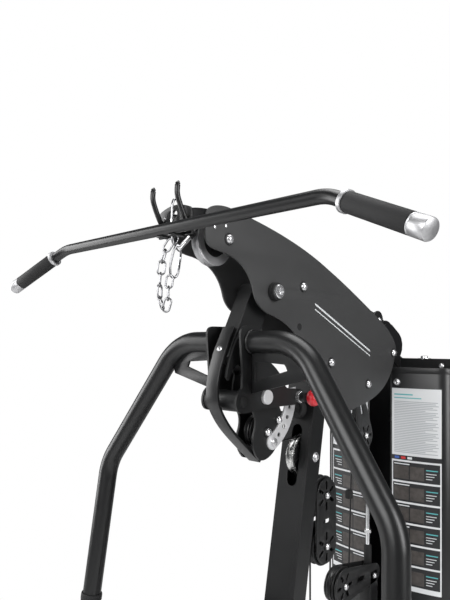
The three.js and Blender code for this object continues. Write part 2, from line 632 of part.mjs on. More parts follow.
// A post on the base rail that carries the low pulley and the cable's tension rod.
function lowPulleyBracket() {
  const outline = linkOutline(LOW_PULLEY, { y: 520, z: 1010 }, 50, 28);
  const axle = rodX(BOLT_R, -16, 16, LOW_PULLEY, 12);
  const post = box(-20, 20, 490, 535, RAIL.top + GAP, 1020);
  const tension = rod(6, [0, 510, 1010], [0, 510, 1300 - GAP], 10);
  const sleeve = rod(11, [0, 510, 1015], [0, 510, 1105], 12);
  add('low_pulley_bracket', join(...ears(null, 15, 20, outline), axle, post, sleeve, tension), BLACK_STEEL);
}

// ---------------------------------------------------------------- weight stack
function headTube() {
  const body = box(-HEAD_TUBE.half, HEAD_TUBE.half, HEAD_TUBE.y0, HEAD_TUBE.y1, HEAD_TUBE.z0, HEAD_TUBE.z1);
  const bore = box(-HEAD_TUBE.half - 5, HEAD_TUBE.half + 5, HEAD_TUBE.y0 + 3, HEAD_TUBE.y1 - 3,
    HEAD_TUBE.z0 + 3, HEAD_TUBE.z1 - 3);
  const stud = BOOM_STUDS[3];
  const lug = linkOutline({ y: 648, z: 1650 }, stud, 17, 14, 5);
  const cheek = linkOutline({ y: 652, z: 1708 }, REAR_PULLEY, 46, 46);
  const axle = rodX(BOLT_R, -16, 16, REAR_PULLEY, 12);
  const studHole = rodX(BOLT_R + GAP, -60, 60, stud, 12);
  const cableHole = rod(9, [0, STACK.y, 1600], [0, STACK.y, 1700], 12);
  const shell = cut(body, bore);
  const plates = cut(join(body, ...ears(null, 41, 46, lug), ...ears(null, 15, 20, cheek)), bore);
  add('head_tube', cut(join(shell, plates, axle), studHole, cableHole), BLACK_STEEL);
}

function guideRods() {
  for (const side of [-1, 1]) {
    const x = side * STACK.rodX;
    add(side > 0 ? 'guide_rod_right' : 'guide_rod_left',
      rod(STACK.rodR, [x, STACK.y, STACK.bottom - 1 + GAP], [x, STACK.y, HEAD_TUBE.z0 - GAP], 16), CHROME);
  }
}

function weightBlock(z0, z1) {
  const body = box(-STACK.half, STACK.half, STACK.y - STACK.halfDepth, STACK.y + STACK.halfDepth, z0, z1);
  const holes = [-STACK.rodX, 0, STACK.rodX].map((x) =>
    rod(x === 0 ? STACK.selectorR + 1 : STACK.rodR + 0.8, [x, STACK.y, z0 - 5], [x, STACK.y, z1 + 5], 16));
  return cut(body, ...holes);
}

function weightStack() {
  const lowerTop = STACK.bottom + STACK.lowerCount * STACK.plate;
  add('lower_plates', weightBlock(STACK.bottom, lowerTop), IRON);
  const liftedTop = lowerTop + GAP + STACK.liftedCount * STACK.plate;
  const pinZ = lowerTop + GAP + STACK.plate / 2;
  const pinBore = rod(BOLT_R + GAP, [0, STACK.y - 60, pinZ], [0, STACK.y, pinZ], 12);
  add('lifted_plates', cut(weightBlock(lowerTop + GAP, liftedTop), pinBore), IRON);
  add('top_plate', weightBlock(liftedTop + GAP, liftedTop + GAP + 42), IRON);
  const selector = rod(STACK.selectorR, [0, STACK.y, STACK.bottom + 2], [0, STACK.y, STACK.selectorTop], 16);
  add('selector_rod', selector, CHROME);
  const front = STACK.y - STACK.selectorR - GAP;
  const shank = rod(BOLT_R, [0, 590, pinZ], [0, front, pinZ], 12);
  const knob = rod(13, [0, 578, pinZ], [0, 600, pinZ], 16);
  add('selector_pin', join(shank, knob), RED);
}

function shroud(side) {
  const outer = [[39, 585], [62, 584], [110, 590], [160, 600], [190, 610], [207, 626], [215, 650], [216, 700],
    [211, 726], [192, 741], [150, 746], [39, 746]];
  const inner = outer.map(([x, y], i) => {
    const before = outer[Math.max(i - 1, 0)];
    const after = outer[Math.min(i + 1, outer.length - 1)];
    const length = Math.hypot(after[0] - before[0], after[1] - before[1]);
    return [x - ((after[1] - before[1]) / length) * SHROUD.sheet, y + ((after[0] - before[0]) / length) * SHROUD.sheet];
  });
  const outline = [...outer, ...inner.reverse()].map(([x, y]) => [side * x, y]);
  const headTubeSpace = box(-300, 300, HEAD_TUBE.y0 - 2, HEAD_TUBE.y1 + 2, HEAD_TUBE.z0 - GAP, HEAD_TUBE.z1);
  add(side > 0 ? 'shroud_right' : 'shroud_left', cut(
    plateXY(polygon(outline), SHROUD.bottom, SHROUD.top), headTubeSpace), PLATE_STEEL);
}

// ---------------------------------------------------------------- seat and leg developer
function seatFrame() {
  const rail = box(-25, 25, LEG.y + 25, 0, 395, 445);
  const post = box(-25, 25, LEG.y + 25, LEG.y + 75, RAIL.top + GAP, 445);
  const sleeve = box(-33, 33, SEAT.postY - 33, SEAT.postY + 33, 330, 450);
  const earShape = linkOutline({ y: LEG.y + 45, z: 430 }, LEG, 24, 20, 5);
  const axle = rodX(LEG.axleR, -200, 200, LEG, 14);
  const half = SEAT.postHalf + GAP;
  const bore = box(-half, half, SEAT.postY - half, SEAT.postY + half, 300, 480);
  const cableSlot = box(-9, 9, LEG.y, LEG.y + 90, RAIL.top, 100);
  const whole = join(rail, post, sleeve, ...ears(null, 22.5, 28, earShape), axle);
  const armSpace = box(-22.3, 22.3, LEG.y - 40, LEG.y + 24.7, 400, 520);
  const cleared = join(cut(whole, armSpace), axle);
  add('seat_frame', cut(cleared, bore, cableSlot, uprightEnvelope(GAP)), BLACK_STEEL);
}

function seat() {
  const half = SEAT.postHalf;
  const post = box(-half, half, SEAT.postY - half, SEAT.postY + half, 250, SEAT.top - 4);
  const plate = box(-90, 90, SEAT.padFront + 60, SEAT.padBack - 60, SEAT.top - 8, SEAT.top);
  const pinBore = rodX(BOLT_R + GAP, 10, 60, { y: SEAT.postY, z: 360 }, 12);
  add('seat_post', cut(join(post, plate), pinBore), BLACK_STEEL);
  add('seat_pad', box(-SEAT.padHalf, SEAT.padHalf, SEAT.padFront, SEAT.padBack, SEAT.top + GAP, SEAT.padTop), VINYL);
}

function backPad() {
  const lower = 640;
  const upper = 1045;
  const back = (z) => uprightFront(z) - 25;
  const outline = polygon([[back(lower), lower], [back(upper), upper], [back(upper) - 62, upper + 11],
    [back(lower) - 62, lower + 11]]);
  const spaces = PAD_STUDS.map((z) => box(-22.5, 22.5, uprightFront(z) - 24.8, uprightFront(z) + 6, z - 23, z + 23));
  add('back_pad', cut(plateYZ(outline, -135, 135), ...spaces), VINYL);
}

function legDeveloper() {
  const foot = { y: LEG.footY, z: LEG.footZ };
  const beam = linkOutline(LEG, foot, 20, 17, 5);
  const bar = rodX(LEG.axleR, -200, 200, foot, 14);
  const bore = rodX(LEG.axleR + GAP, -60, 60, LEG, 14);
  add('leg_arm', cut(join(plateYZ(beam, -20, 20), bar), bore), BLACK_STEEL);
  for (const [level, at] of [['upper', LEG], ['lower', foot]]) {
    for (const side of [-1, 1]) {
      const x0 = side > 0 ? LEG.rollerX0 : -LEG.rollerX1;
      const roller = rodX(LEG.rollerR, x0, x0 + LEG.rollerX1 - LEG.rollerX0, at, 20);
      const core = rodX(LEG.axleR + GAP, -220, 220, at, 14);
      add(`roller_${level}_${side > 0 ? 'right' : 'left'}`, cut(roller, core), RUBBER);
    }
  }
}

// ---------------------------------------------------------------- cables and chain
function cables() {
  const lead = (pulleyAt, turn) => ({ ...pulleyAt, turn });
  add('lat_cable', cable({ y: FRONT_PULLEY.y - PULLEY.cable, z: 1925 },
    [lead(FRONT_PULLEY, -1), lead(BOOM_PULLEY, -1), lead(REAR_PULLEY, -1)], { y: STACK.y, z: STACK.selectorTop + GAP }), RUBBER);
  const anchorY = uprightFront(1545) - 22 - GAP;
  add('press_cable', cable({ y: anchorY, z: 1541 },
    [lead(CAM_PULLEY, 1), lead(UPRIGHT_PULLEY, -1), lead(BLOCK_UPPER, 1)],
    { y: BLOCK_UPPER.y + PULLEY.cable, z: 1650 - GAP }), RUBBER);
  add('low_cable', cable({ y: ROW_PULLEY.y - PULLEY.cable, z: 195 },
    [lead(ROW_PULLEY, 1), lead(BASE_PULLEY, 1), lead(BLOCK_LOWER, -1), lead(LOW_PULLEY, 1),
      lead(MID_PULLEY, -1)], { y: 510, z: 1300 }), RUBBER);
}

// The lift chain hangs in a bight from the nose plate to the end of the lat cable.
function hangingChain() {
  const route = [[-6, -282, 1930], [-17, -291, 1908], [-23, -296, 1870], [-25, -298, 1830], [-22, -297, 1802],
    [-14, -292, 1790], [-8, -287, 1806], [-7, -283, 1836], [-5, -276, 1868], [0, -262, 1916]]
    .map(([x, y, z]) => new THREE.Vector3(x, y, z));
  const curve = new THREE.CatmullRomCurve3(route, false, 'centripetal');
  add('hanging_chain', tube(curve.getPoints(22), 5.5, 8), CHROME);
}

// ---------------------------------------------------------------- assembly
baseRail();
stabiliser('front_stabiliser', -HALF_LENGTH, STABILISER.frontHalf);
stabiliser('rear_stabiliser', HALF_LENGTH - STABILISER.width, STABILISER.rearHalf);
upright();
boomPlates();
pivotAxle();
barRestBracket();
latBar();
swingArm();
guardBand();
camPlates();
adjusterPlate();
adjusterAxle();
pressBracket();
for (const side of [1, -1]) {
  pressArm(side);
  pressGrip(side);
  shroud(side);
}
pullPin();
pulleyBlock();
midPulleyBracket();
boomPulleyBracket();
lowPulleyBracket();
pulley('front_pulley', FRONT_PULLEY);
pulley('rear_pulley', REAR_PULLEY);
pulley('boom_pulley', BOOM_PULLEY);
pulley('cam_pulley', CAM_PULLEY);
pulley('upright_pulley', UPRIGHT_PULLEY);
pulley('block_pulley_upper', BLOCK_UPPER);
pulley('block_pulley_lower', BLOCK_LOWER);
pulley('low_pulley', LOW_PULLEY);
pulley('mid_pulley', MID_PULLEY);
pulley('base_pulley', BASE_PULLEY);
pulley('row_pulley', ROW_PULLEY);
headTube();
guideRods();
weightStack();
seatFrame();
seat();
backPad();
legDeveloper();
cables();
hangingChain();

export default group;
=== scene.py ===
"""Looks of the home multi-gym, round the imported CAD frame. Lengths are millimetres unless they say otherwise."""
import math
import bmesh
import bpy
from mathutils import Matrix, Quaternion, Vector


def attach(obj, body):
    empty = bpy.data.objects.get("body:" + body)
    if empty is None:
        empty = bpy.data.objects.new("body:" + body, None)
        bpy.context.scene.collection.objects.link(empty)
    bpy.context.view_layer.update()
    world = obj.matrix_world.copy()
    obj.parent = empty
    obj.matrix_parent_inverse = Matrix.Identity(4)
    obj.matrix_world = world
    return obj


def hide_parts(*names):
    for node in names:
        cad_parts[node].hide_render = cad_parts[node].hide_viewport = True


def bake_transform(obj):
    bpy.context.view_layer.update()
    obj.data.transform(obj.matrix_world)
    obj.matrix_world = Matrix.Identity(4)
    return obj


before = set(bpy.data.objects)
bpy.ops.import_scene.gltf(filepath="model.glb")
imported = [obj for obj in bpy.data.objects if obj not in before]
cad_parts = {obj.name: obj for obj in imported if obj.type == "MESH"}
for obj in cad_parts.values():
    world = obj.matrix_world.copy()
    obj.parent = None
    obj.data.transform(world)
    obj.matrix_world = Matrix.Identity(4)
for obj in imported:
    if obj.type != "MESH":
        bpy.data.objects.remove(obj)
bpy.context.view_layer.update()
MM = 0.001

# Each pulley's (y, z), the radius its cable runs at and the radius of its rim
PULLEYS = {
    "front_pulley": (-167, 1944, 50.0, 54.0),
    "rear_pulley": (605, 1735, 50.0, 54.0),
    "boom_pulley": (540, 1788, 23, 26),
    "cam_pulley": (-8, 1503, 38, 42),
    "upright_pulley": (167, 1420, 50.0, 54.0),
    "block_pulley_upper": (257, 1297, 50.0, 54.0),
    "block_pulley_lower": (257, 1157, 50.0, 54.0),
    "low_pulley": (350, 1018, 50.0, 54.0),
    "mid_pulley": (465, 1438, 45, 49),
    "base_pulley": (157, 130, 50.0, 54.0),
    "row_pulley": (-600, 130, 50.0, 54.0),
}
AXLE_END = [(0, 0), (13, 0), (13, 1.6), (9.5, 2), (9, 6.5), (6, 8.5), (0, 8.8)]


# ---------------------------------------------------------------- materials
def material(name, colour, rough, metal=0.0, spread=0.12, scale=9.0, grain=0.0, grain_scale=900.0,
    rough_spread=0.08,
             coat=0.0, wear=0.0, stretch=(1, 1, 1), specular=0.5, sheen=0.0):
    """Colour and roughness vary over the surface. grain adds a fine bump, wear paler edges."""
    mat = bpy.data.materials.new(name)
    mat.use_nodes = True
    nodes, links = mat.node_tree.nodes, mat.node_tree.links
    shader = nodes["Principled BSDF"]
    shader.inputs["Metallic"].default_value = metal
    shader.inputs["Coat Weight"].default_value = coat
    shader.inputs["Coat Roughness"].default_value = 0.12
    shader.inputs["Specular IOR Level"].default_value = specular
    shader.inputs["Sheen Weight"].default_value = sheen
    place = nodes.new("ShaderNodeTexCoord")
    mapping = nodes.new("ShaderNodeMapping")
    mapping.inputs["Scale"].default_value = stretch
    links.new(place.outputs["Object"], mapping.inputs["Vector"])

    def noise(size, detail):
        node = nodes.new("ShaderNodeTexNoise")
        node.inputs["Scale"].default_value = size
        node.inputs["Detail"].default_value = detail
        links.new(mapping.outputs["Vector"], node.inputs["Vector"])
        return node.outputs["Fac"]

    broad = noise(scale, 5)
    mix = nodes.new("ShaderNodeMix")
    mix.data_type = "RGBA"
    mix.inputs[6].default_value = (*[max(c * (1 - spread), 0) for c in colour], 1)
    mix.inputs[7].default_value = (*[min(c * (1 + spread), 1) for c in colour], 1)
    links.new(broad, mix.inputs[0])
    shade = mix.outputs[2]
    if wear:
        geometry = nodes.new("ShaderNodeNewGeometry")
        edge = nodes.new("ShaderNodeMapRange")
        edge.inputs["From Min"].default_value = 0.53
        edge.inputs["From Max"].default_value = 0.62
        edge.inputs["To Max"].default_value = wear
        links.new(geometry.outputs["Pointiness"], edge.inputs["Value"])
        worn = nodes.new("ShaderNodeMix")
        worn.data_type = "RGBA"
        worn.inputs[7].default_value = (*[min(c * 2.2 + 0.05, 1) for c in colour], 1)
        links.new(edge.outputs["Result"], worn.inputs[0])
        links.new(shade, worn.inputs[6])
        shade = worn.outputs[2]
    links.new(shade, shader.inputs["Base Color"])
    dull = nodes.new("ShaderNodeMapRange")
    dull.inputs["To Min"].default_value = max(rough - rough_spread, 0.02)
    dull.inputs["To Max"].default_value = min(rough + rough_spread, 1)
    links.new(noise(scale * 2.3, 6), dull.inputs["Value"])
    links.new(dull.outputs["Result"], shader.inputs["Roughness"])
    if grain:
        bump = nodes.new("ShaderNodeBump")
        bump.inputs["Strength"].default_value = grain
        bump.inputs["Distance"].default_value = 0.0004
        links.new(noise(grain_scale, 3), bump.inputs["Height"])
        links.new(bump.outputs["Normal"], shader.inputs["Normal"])
    return mat


def ribbed(mat, scale, axis, depth):
    """Adds moulded ribs to a material, on top of its grain."""
    nodes, links = mat.node_tree.nodes, mat.node_tree.links
    shader = nodes["Principled BSDF"]
    wave = nodes.new("ShaderNodeTexWave")
    wave.bands_direction = axis
    wave.inputs["Scale"].default_value = scale
    bump = nodes.new("ShaderNodeBump")
    bump.inputs["Strength"].default_value = depth
    bump.inputs["Distance"].default_value = 0.0006
    mapping = next(n for n in nodes if n.type == "MAPPING")
    links.new(mapping.outputs["Vector"], wave.inputs["Vector"])
    links.new(wave.outputs["Fac"], bump.inputs["Height"])
    if shader.inputs["Normal"].links:
        links.new(shader.inputs["Normal"].links[0].from_socket, bump.inputs["Normal"])
    links.new(bump.outputs["Normal"], shader.inputs["Normal"])
    return mat


TUBE_BLACK = material("powder_coat_tube", (0.0062, 0.0064, 0.0068), 0.33, rough_spread=0.03)
# Boom plates: black powder coat with the bright room's reflection painted into its colour, so it is dark grey and
# paler than the tubes.
PLATE_BLACK_PAINTED_REFLECTION = material("powder_coat_plate_painted_reflection", (0.046, 0.0463, 0.047), 0.52, grain=0.08, grain_scale=1600,
    rough_spread=0.05, specular=0.4)
DARK_STEEL = material("powder_coat_dark", (0.0075, 0.0077, 0.0081), 0.42, grain=0.05, grain_scale=1500)
CHROME = material("chrome", (0.80, 0.81, 0.82), 0.07, 1.0, spread=0.03, rough_spread=0.04, scale=30)
STEEL = material("zinc_plate", (0.66, 0.66, 0.65), 0.26, 1.0, spread=0.08, rough_spread=0.10, scale=60, grain=0.05)
BOLT_CHROME = material("bolt_chrome", (0.74, 0.74, 0.75), 0.24, 0.85, spread=0.08, rough_spread=0.05, scale=120)
RUBBER = material("rubber_black", (0.011, 0.011, 0.0112), 0.74, grain=0.5, grain_scale=700, specular=0.35)
GRIP = ribbed(material("grip_rubber", (0.015, 0.015, 0.0155), 0.70, grain=0.3, grain_scale=900, specular=0.35),
    150, "DIAGONAL", 0.12)
SATIN = material("satin_steel", (0.52, 0.52, 0.53), 0.42, 0.9, spread=0.03, rough_spread=0.02, scale=20)
CHAIN_ZINC = material("chain_zinc", (0.34, 0.34, 0.35), 0.22, 1.0, spread=0.10, rough_spread=0.05, scale=60)
BRIGHT_ZINC = material("bright_zinc", (0.72, 0.72, 0.73), 0.42, 0.45, spread=0.04, rough_spread=0.04, scale=40)
NYLON = material("nylon_black", (0.012, 0.012, 0.0124), 0.38, grain=0.15, grain_scale=500, rough_spread=0.10)
CABLE = material("cable_sheath", (0.010, 0.010, 0.0105), 0.30, grain=0.08, grain_scale=300)
FOAM = material("foam_cover", (0.016, 0.016, 0.0165), 0.86, grain=0.9, grain_scale=420, specular=0.3, sheen=0.25)
VINYL = material("pad_vinyl", (0.014, 0.014, 0.0145), 0.52, grain=0.7, grain_scale=330, scale=6, rough_spread=0.1,
    sheen=0.05)
RED = material("red_plastic", (0.55, 0.018, 0.028), 0.30, grain=0.06, coat=0.3, spread=0.06)
IRON = material("cast_plate", (0.018, 0.0182, 0.019), 0.55, grain=0.8, grain_scale=260, wear=0.3)
SHROUD = material("shroud_coat", (0.011, 0.0112, 0.0119), 0.33, rough_spread=0.03)
CARD = material("placard_card", (0.70, 0.71, 0.72), 0.42, spread=0.03, coat=0.25)
INK = material("placard_ink", (0.40, 0.42, 0.44), 0.5, spread=0.05)
TEAL = material("teal_print", (0.10, 0.42, 0.44), 0.45, spread=0.06)
PALE = material("pale_print", (0.70, 0.72, 0.73), 0.5, spread=0.05)
TILE = material("placard_tile", (0.014, 0.0145, 0.016), 0.4, spread=0.2)
TILE_DIM = material("placard_tile_dim", (0.055, 0.048, 0.044), 0.45, spread=0.8, scale=70)
BLUE = material("blue_print", (0.05, 0.12, 0.42), 0.45, spread=0.06)
LABEL_RED = material("red_print", (0.55, 0.03, 0.03), 0.45, spread=0.06)


# ---------------------------------------------------------------- shapes, as (vertices, faces) in millimetres
def ring_frames(points, closed=False):
    """A point, a tangent and two sideways directions at each point of a path, with no twist."""
    points = [Vector(p) for p in points]
    n = len(points)
    frames, side = [], None
    for i, p in enumerate(points):
        before = points[(i - 1) % n] if closed or i > 0 else p
        after = points[(i + 1) % n] if closed or i < n - 1 else p
        ahead = (after - p).normalized() if (after - p).length else (p - before).normalized()
        behind = (p - before).normalized() if (p - before).length else ahead
        tangent = (ahead + behind).normalized()
        if side is None:
            up = Vector((0, 0, 1)) if abs(tangent.z) < 0.9 else Vector((1, 0, 0))
            side = tangent.cross(up).normalized()
        else:
            side = (side - tangent * side.dot(tangent)).normalized()
        frames.append((p, tangent, side, tangent.cross(side)))
    return frames


def tube(points, radius, sides=28, closed=False, caps=True, flat=1.0):
    """A round tube along a path. radius is a number, or one number per point; flat squeezes it sideways."""
    frames = ring_frames(points, closed)
    radii = [radius] * len(frames) if isinstance(radius, (int, float)) else list(radius)
    verts, faces = [], []
    for (p, _, a, b), r in zip(frames, radii):
        for k in range(sides):
            angle = 2 * math.pi * k / sides
            verts.append(p + a * (r * math.cos(angle)) + b * (r * flat * math.sin(angle)))
    rings = len(frames)
    for i in range(rings if closed else rings - 1):
        j = (i + 1) % rings
        for k in range(sides):
            m = (k + 1) % sides
            faces.append((i * sides + k, i * sides + m, j * sides + m, j * sides + k))
    if not closed and caps:
        faces.append(tuple(reversed(range(sides))))
        faces.append(tuple(range((rings - 1) * sides, rings * sides)))
    return verts, faces


def capsule_ends(points, radius, sides=20, round_by=None):
    """A tube with rounded ends."""
    points = [Vector(p) for p in points]
    round_by = round_by or radius
    start, end = (points[0] - points[1]).normalized(), (points[-1] - points[-2]).normalized()
    steps = 5
    head = [(points[0] + start * (round_by * math.sin(a) - round_by), radius - round_by + round_by * math.cos(a))
            for a in [math.pi / 2 * (1 - i / steps) for i in range(steps)]]
    tail = [(points[-1] + end * (round_by * math.sin(a) - round_by), radius - round_by + round_by * math.cos(a))
            for a in [math.pi / 2 * (i + 1) / steps for i in range(steps)]]
    body = [points[0] - start * round_by, *points[1:-1], points[-1] - end * round_by]
    path = [p for p, _ in head] + body + [p for p, _ in tail]
    radii = [max(r, 0.05) for _, r in head] + [radius] * len(body) + [max(r, 0.05) for _, r in tail]
    return tube(path, radii, sides)


def lathe(profile, origin, axis=(0, 0, 1), sides=32):
    """Turns (radius, height) points round an axis. The profile is closed, or starts and ends at radius 0."""
    turn = Vector((0, 0, 1)).rotation_difference(Vector(axis).normalized())
    origin = Vector(origin)
    verts, faces, rings = [], [], []
    for r, h in profile:
        if r < 1e-6:
            rings.append([len(verts)])
            verts.append(origin + turn @ Vector((0, 0, h)))
        else:
            rings.append(list(range(len(verts), len(verts) + sides)))
            for k in range(sides):
                angle = 2 * math.pi * k / sides
                verts.append(origin + turn @ Vector((r * math.cos(angle), r * math.sin(angle), h)))
    for one, two in zip(rings, rings[1:]):
        for k in range(sides):
            m = (k + 1) % sides
            face = [one[k % len(one)], one[m % len(one)], two[m % len(two)], two[k % len(two)]]
            face = list(dict.fromkeys(face))
            if len(face) > 2:
                faces.append(tuple(face))
    return verts, faces


def block(x0, x1, y0, y1, z0, z1, bevel=1.0, segments=2):
    """A box with rounded edges."""
    bm = bmesh.new()
    bmesh.ops.create_cube(bm, size=1)
    bmesh.ops.scale(bm, vec=(x1 - x0, y1 - y0, z1 - z0), verts=bm.verts)
    bmesh.ops.translate(bm, vec=((x0 + x1) / 2, (y0 + y1) / 2, (z0 + z1) / 2), verts=bm.verts)
    if bevel:
        bmesh.ops.bevel(bm, geom=bm.edges[:], offset=bevel, segments=segments, profile=0.5, affect="EDGES")
    return read(bm)


def read(bm):
    bm.verts.index_update()
    verts = [v.co.copy() for v in bm.verts]
    faces = [tuple(v.index for v in f.verts) for f in bm.faces]
    bm.free()
    return verts, faces


PLANES = {
    "YZ": Matrix(((0, 0, 1), (1, 0, 0), (0, 1, 0))),
    "XZ": Matrix(((1, 0, 0), (0, 0, -1), (0, 1, 0))),
    "XY": Matrix(((1, 0, 0), (0, 1, 0), (0, 0, 1))),
}


def plate(loops, plane, low, high, bevel=0.8):
    """A flat plate between low and high on the third axis. loops[0] is its outline, the others its holes."""
    curve = bpy.data.curves.new("outline", "CURVE")
    curve.dimensions = "2D"
    curve.fill_mode = "BOTH"
    curve.extrude = ((high - low) / 2 - bevel) * 0.01
    curve.bevel_depth = bevel * 0.01
    curve.bevel_resolution = 2
    curve.offset = -bevel * 0.01
    for loop in loops:
        spline = curve.splines.new("POLY")
        spline.points.add(len(loop) - 1)
        for point, (a, b) in zip(spline.points, loop):
            point.co = (a * 0.01, b * 0.01, 0, 1)
        spline.use_cyclic_u = True
    holder = bpy.data.objects.new("outline", curve)
    bpy.context.collection.objects.link(holder)
    mesh = bpy.data.meshes.new_from_object(holder.evaluated_get(bpy.context.evaluated_depsgraph_get()))
    bpy.data.objects.remove(holder)
    centre = (low + high) / 2
    basis = PLANES[plane]
    third = basis @ Vector((0, 0, 1))
    shift = third * (centre if third.dot(Vector((1, 1, 1))) > 0 else -centre)
    verts = [basis @ (v.co * 100) + shift for v in mesh.vertices]
    faces = [tuple(p.vertices) for p in mesh.polygons]
    bpy.data.meshes.remove(mesh)
    return verts, faces


def circle(centre, radius, steps=24, squeeze=1.0):
    return [(centre[0] + radius * math.cos(2 * math.pi * i / steps),
        centre[1] + radius * squeeze * math.sin(2 * math.pi * i / steps))
            for i in range(steps)]


def slot_loop(centre, length, width, angle=0.0, steps=8):
    """A stadium-shaped slot in a plane."""
    half = (length - width) / 2
    points = []
    for side in (1, -1):
        for i in range(steps + 1):
            a = math.pi * (i / steps) - math.pi / 2
            points.append((side * (half + width / 2 * math.cos(a)), side * width / 2 * math.sin(a)))
    c, s = math.cos(angle), math.sin(angle)
    return [(centre[0] + x * c - y * s, centre[1] + x * s + y * c) for x, y in points]


def link_loop(a, b, ra, rb, steps=16):
    """Two discs joined by straight sides."""
    along = math.atan2(b[1] - a[1], b[0] - a[0])
    lean = math.acos((ra - rb) / math.dist(a, b))
    points = []
    for centre, r, start, end in ((b, rb, along - lean, along + lean),
        (a, ra, along + lean, along + 2 * math.pi - lean)):
        for i in range(steps + 1):
            t = start + (end - start) * i / steps
            points.append((centre[0] + r * math.cos(t), centre[1] + r * math.sin(t)))
    return points


def pen(start, *moves, steps=10):
    """An outline of straight moves (one point), quadratic curves (two) and cubic curves (three)."""
    points = [start]
    for move in moves:
        p0 = points[-1]
        if len(move) == 1:
            points.append(move[0])
            continue
        for i in range(1, steps + 1):
            t = i / steps
            if len(move) == 2:
                w = ((1 - t) ** 2, 2 * t * (1 - t), t * t)
            else:
                w = ((1 - t) ** 3, 3 * t * (1 - t) ** 2, 3 * t * t * (1 - t), t ** 3)
            stops = (p0, *move)
            points.append(tuple(sum(k * s[axis] for k, s in zip(w, stops)) for axis in (0, 1)))
    if math.dist(points[0], points[-1]) < 0.01:
        points.pop()
    return points


def rounded_route(corners, radius, steps=10):
    """Straight runs between corner points, with each inner corner rounded."""
    corners = [Vector(c) for c in corners]
    points = [corners[0]]
    for before, corner, after in zip(corners, corners[1:], corners[2:]):
        a, b = (before - corner).normalized(), (after - corner).normalized()
        half = a.angle(b) / 2
        centre = corner + (a + b).normalized() * (radius / math.sin(half))
        start, end = corner + a * (radius / math.tan(half)) - centre, corner + b * (radius / math.tan(half)) - centre
        axis, turn = start.cross(end).normalized(), start.angle(end)
        points += [centre + Quaternion(axis, turn * s / steps) @ start for s in range(steps + 1)]
    return points + [corners[-1]]


def smooth_path(points, count):
    """A soft curve through the points, evenly stepped."""
    points = [Vector(p) for p in points]
    fine = []
    for i in range(len(points) - 1):
        p0, p1, p2, p3 = points[max(i - 1, 0)], points[i], points[i + 1], points[min(i + 2, len(points) - 1)]
        for s in range(20):
            t = s / 20
            fine.append(0.5 * ((2 * p1) + (p2 - p0) * t + (2 * p0 - 5 * p1 + 4 * p2 - p3) * t * t + (3 * p1 - p0 - 3 * p2 + p3) * t ** 3))
    fine.append(points[-1])
    lengths = [0.0]
    for a, b in zip(fine, fine[1:]):
        lengths.append(lengths[-1] + (b - a).length)
    even, j = [], 0
    for i in range(count):
        goal = lengths[-1] * i / (count - 1)
        while j < len(fine) - 2 and lengths[j + 1] < goal:
            j += 1
        part = (goal - lengths[j]) / max(lengths[j + 1] - lengths[j], 1e-9)
        even.append(fine[j].lerp(fine[j + 1], part))
    return even


# ---------------------------------------------------------------- pieces
class Piece:
    """Shapes collected into one object, each with its own material."""

    def __init__(self, name):
        self.name, self.verts, self.faces, self.slots, self.materials = name, [], [], [], []

    def add(self, shape, mat):
        verts, faces = shape
        if mat not in self.materials:
            self.materials.append(mat)
        start = len(self.verts)
        self.verts += [Vector(v) * MM for v in verts]
        self.faces += [tuple(i + start for i in f) for f in faces]
        self.slots += [self.materials.index(mat)] * len(faces)
        return self

    def make(self, body, *nodes, slot="frame_black", sharp=35, towards=None):
        """towards is (other body, start, end); when it is given, the piece is left unattached with its transform baked
        in, and its values are not used.
        """
        mesh = bpy.data.meshes.new(self.name)
        mesh.from_pydata(self.verts, [], self.faces)
        for mat in self.materials:
            mesh.materials.append(mat)
        mesh.polygons.foreach_set("material_index", self.slots)
        bm = bmesh.new()
        bm.from_mesh(mesh)
        bmesh.ops.remove_doubles(bm, verts=bm.verts, dist=1e-6)
        bmesh.ops.recalc_face_normals(bm, faces=bm.faces)
        bm.to_mesh(mesh)
        bm.free()
        mesh.polygons.foreach_set("use_smooth", [True] * len(mesh.polygons))
        mesh.set_sharp_from_angle(angle=math.radians(sharp))
        obj = bpy.data.objects.new(self.name, mesh)
        bpy.context.collection.objects.link(obj)
        if towards:
            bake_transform(obj)
        else:
            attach(obj, body)
        if nodes:
            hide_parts(*nodes)
        return obj


def refine(node, mat, bevel=1.2, angle=32, segments=2):
    """Keeps a CAD node, with its edges rounded and its facets smoothed."""
    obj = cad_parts[node]
    obj.data.materials.clear()
    obj.data.materials.append(mat)
    obj.data.polygons.foreach_set("use_smooth", [True] * len(obj.data.polygons))
    weld = obj.modifiers.new("weld", "WELD")
    weld.merge_threshold = 2e-5
    if bevel:
        edge = obj.modifiers.new("edge", "BEVEL")
        edge.width = bevel * MM
        edge.segments = segments
        edge.limit_method = "ANGLE"
        edge.angle_limit = math.radians(angle)
        edge.use_clamp_overlap = True
        edge.harden_normals = True
    normal = obj.modifiers.new("normals", "WEIGHTED_NORMAL")
    normal.keep_sharp = True
    return obj


def bolt(piece, at, axis, size=11.0, height=8.0, washer=True, mat=None, washer_mat=None):
    """A button-head bolt with a hexagon socket, on a washer. at is on the surface, axis points out of it."""
    mat = mat or BOLT_CHROME
    base = 0.0
    if washer:
        piece.add(lathe([(0, 0), (size * 1.28, 0), (size * 1.32, 0.5), (size * 1.28, 1.9), (size, 2.0), (0, 2.0)],
            at, axis, 28), washer_mat or DARK_STEEL)
        base = 2.0
    dome = [(0, base), (size * 0.96, base), (size, base + 0.8)]
    dome += [(size * math.cos(a), base + 0.8 + (height - 0.8) * math.sin(a)) for a in [math.radians(d) for d in (18, 36, 50, 60)]]
    socket = size * 0.40
    dome += [(socket, base + height * 0.93), (socket * 0.94, base + height * 0.42), (0, base + height * 0.36)]
    piece.add(lathe(dome, at, axis, 24), mat)


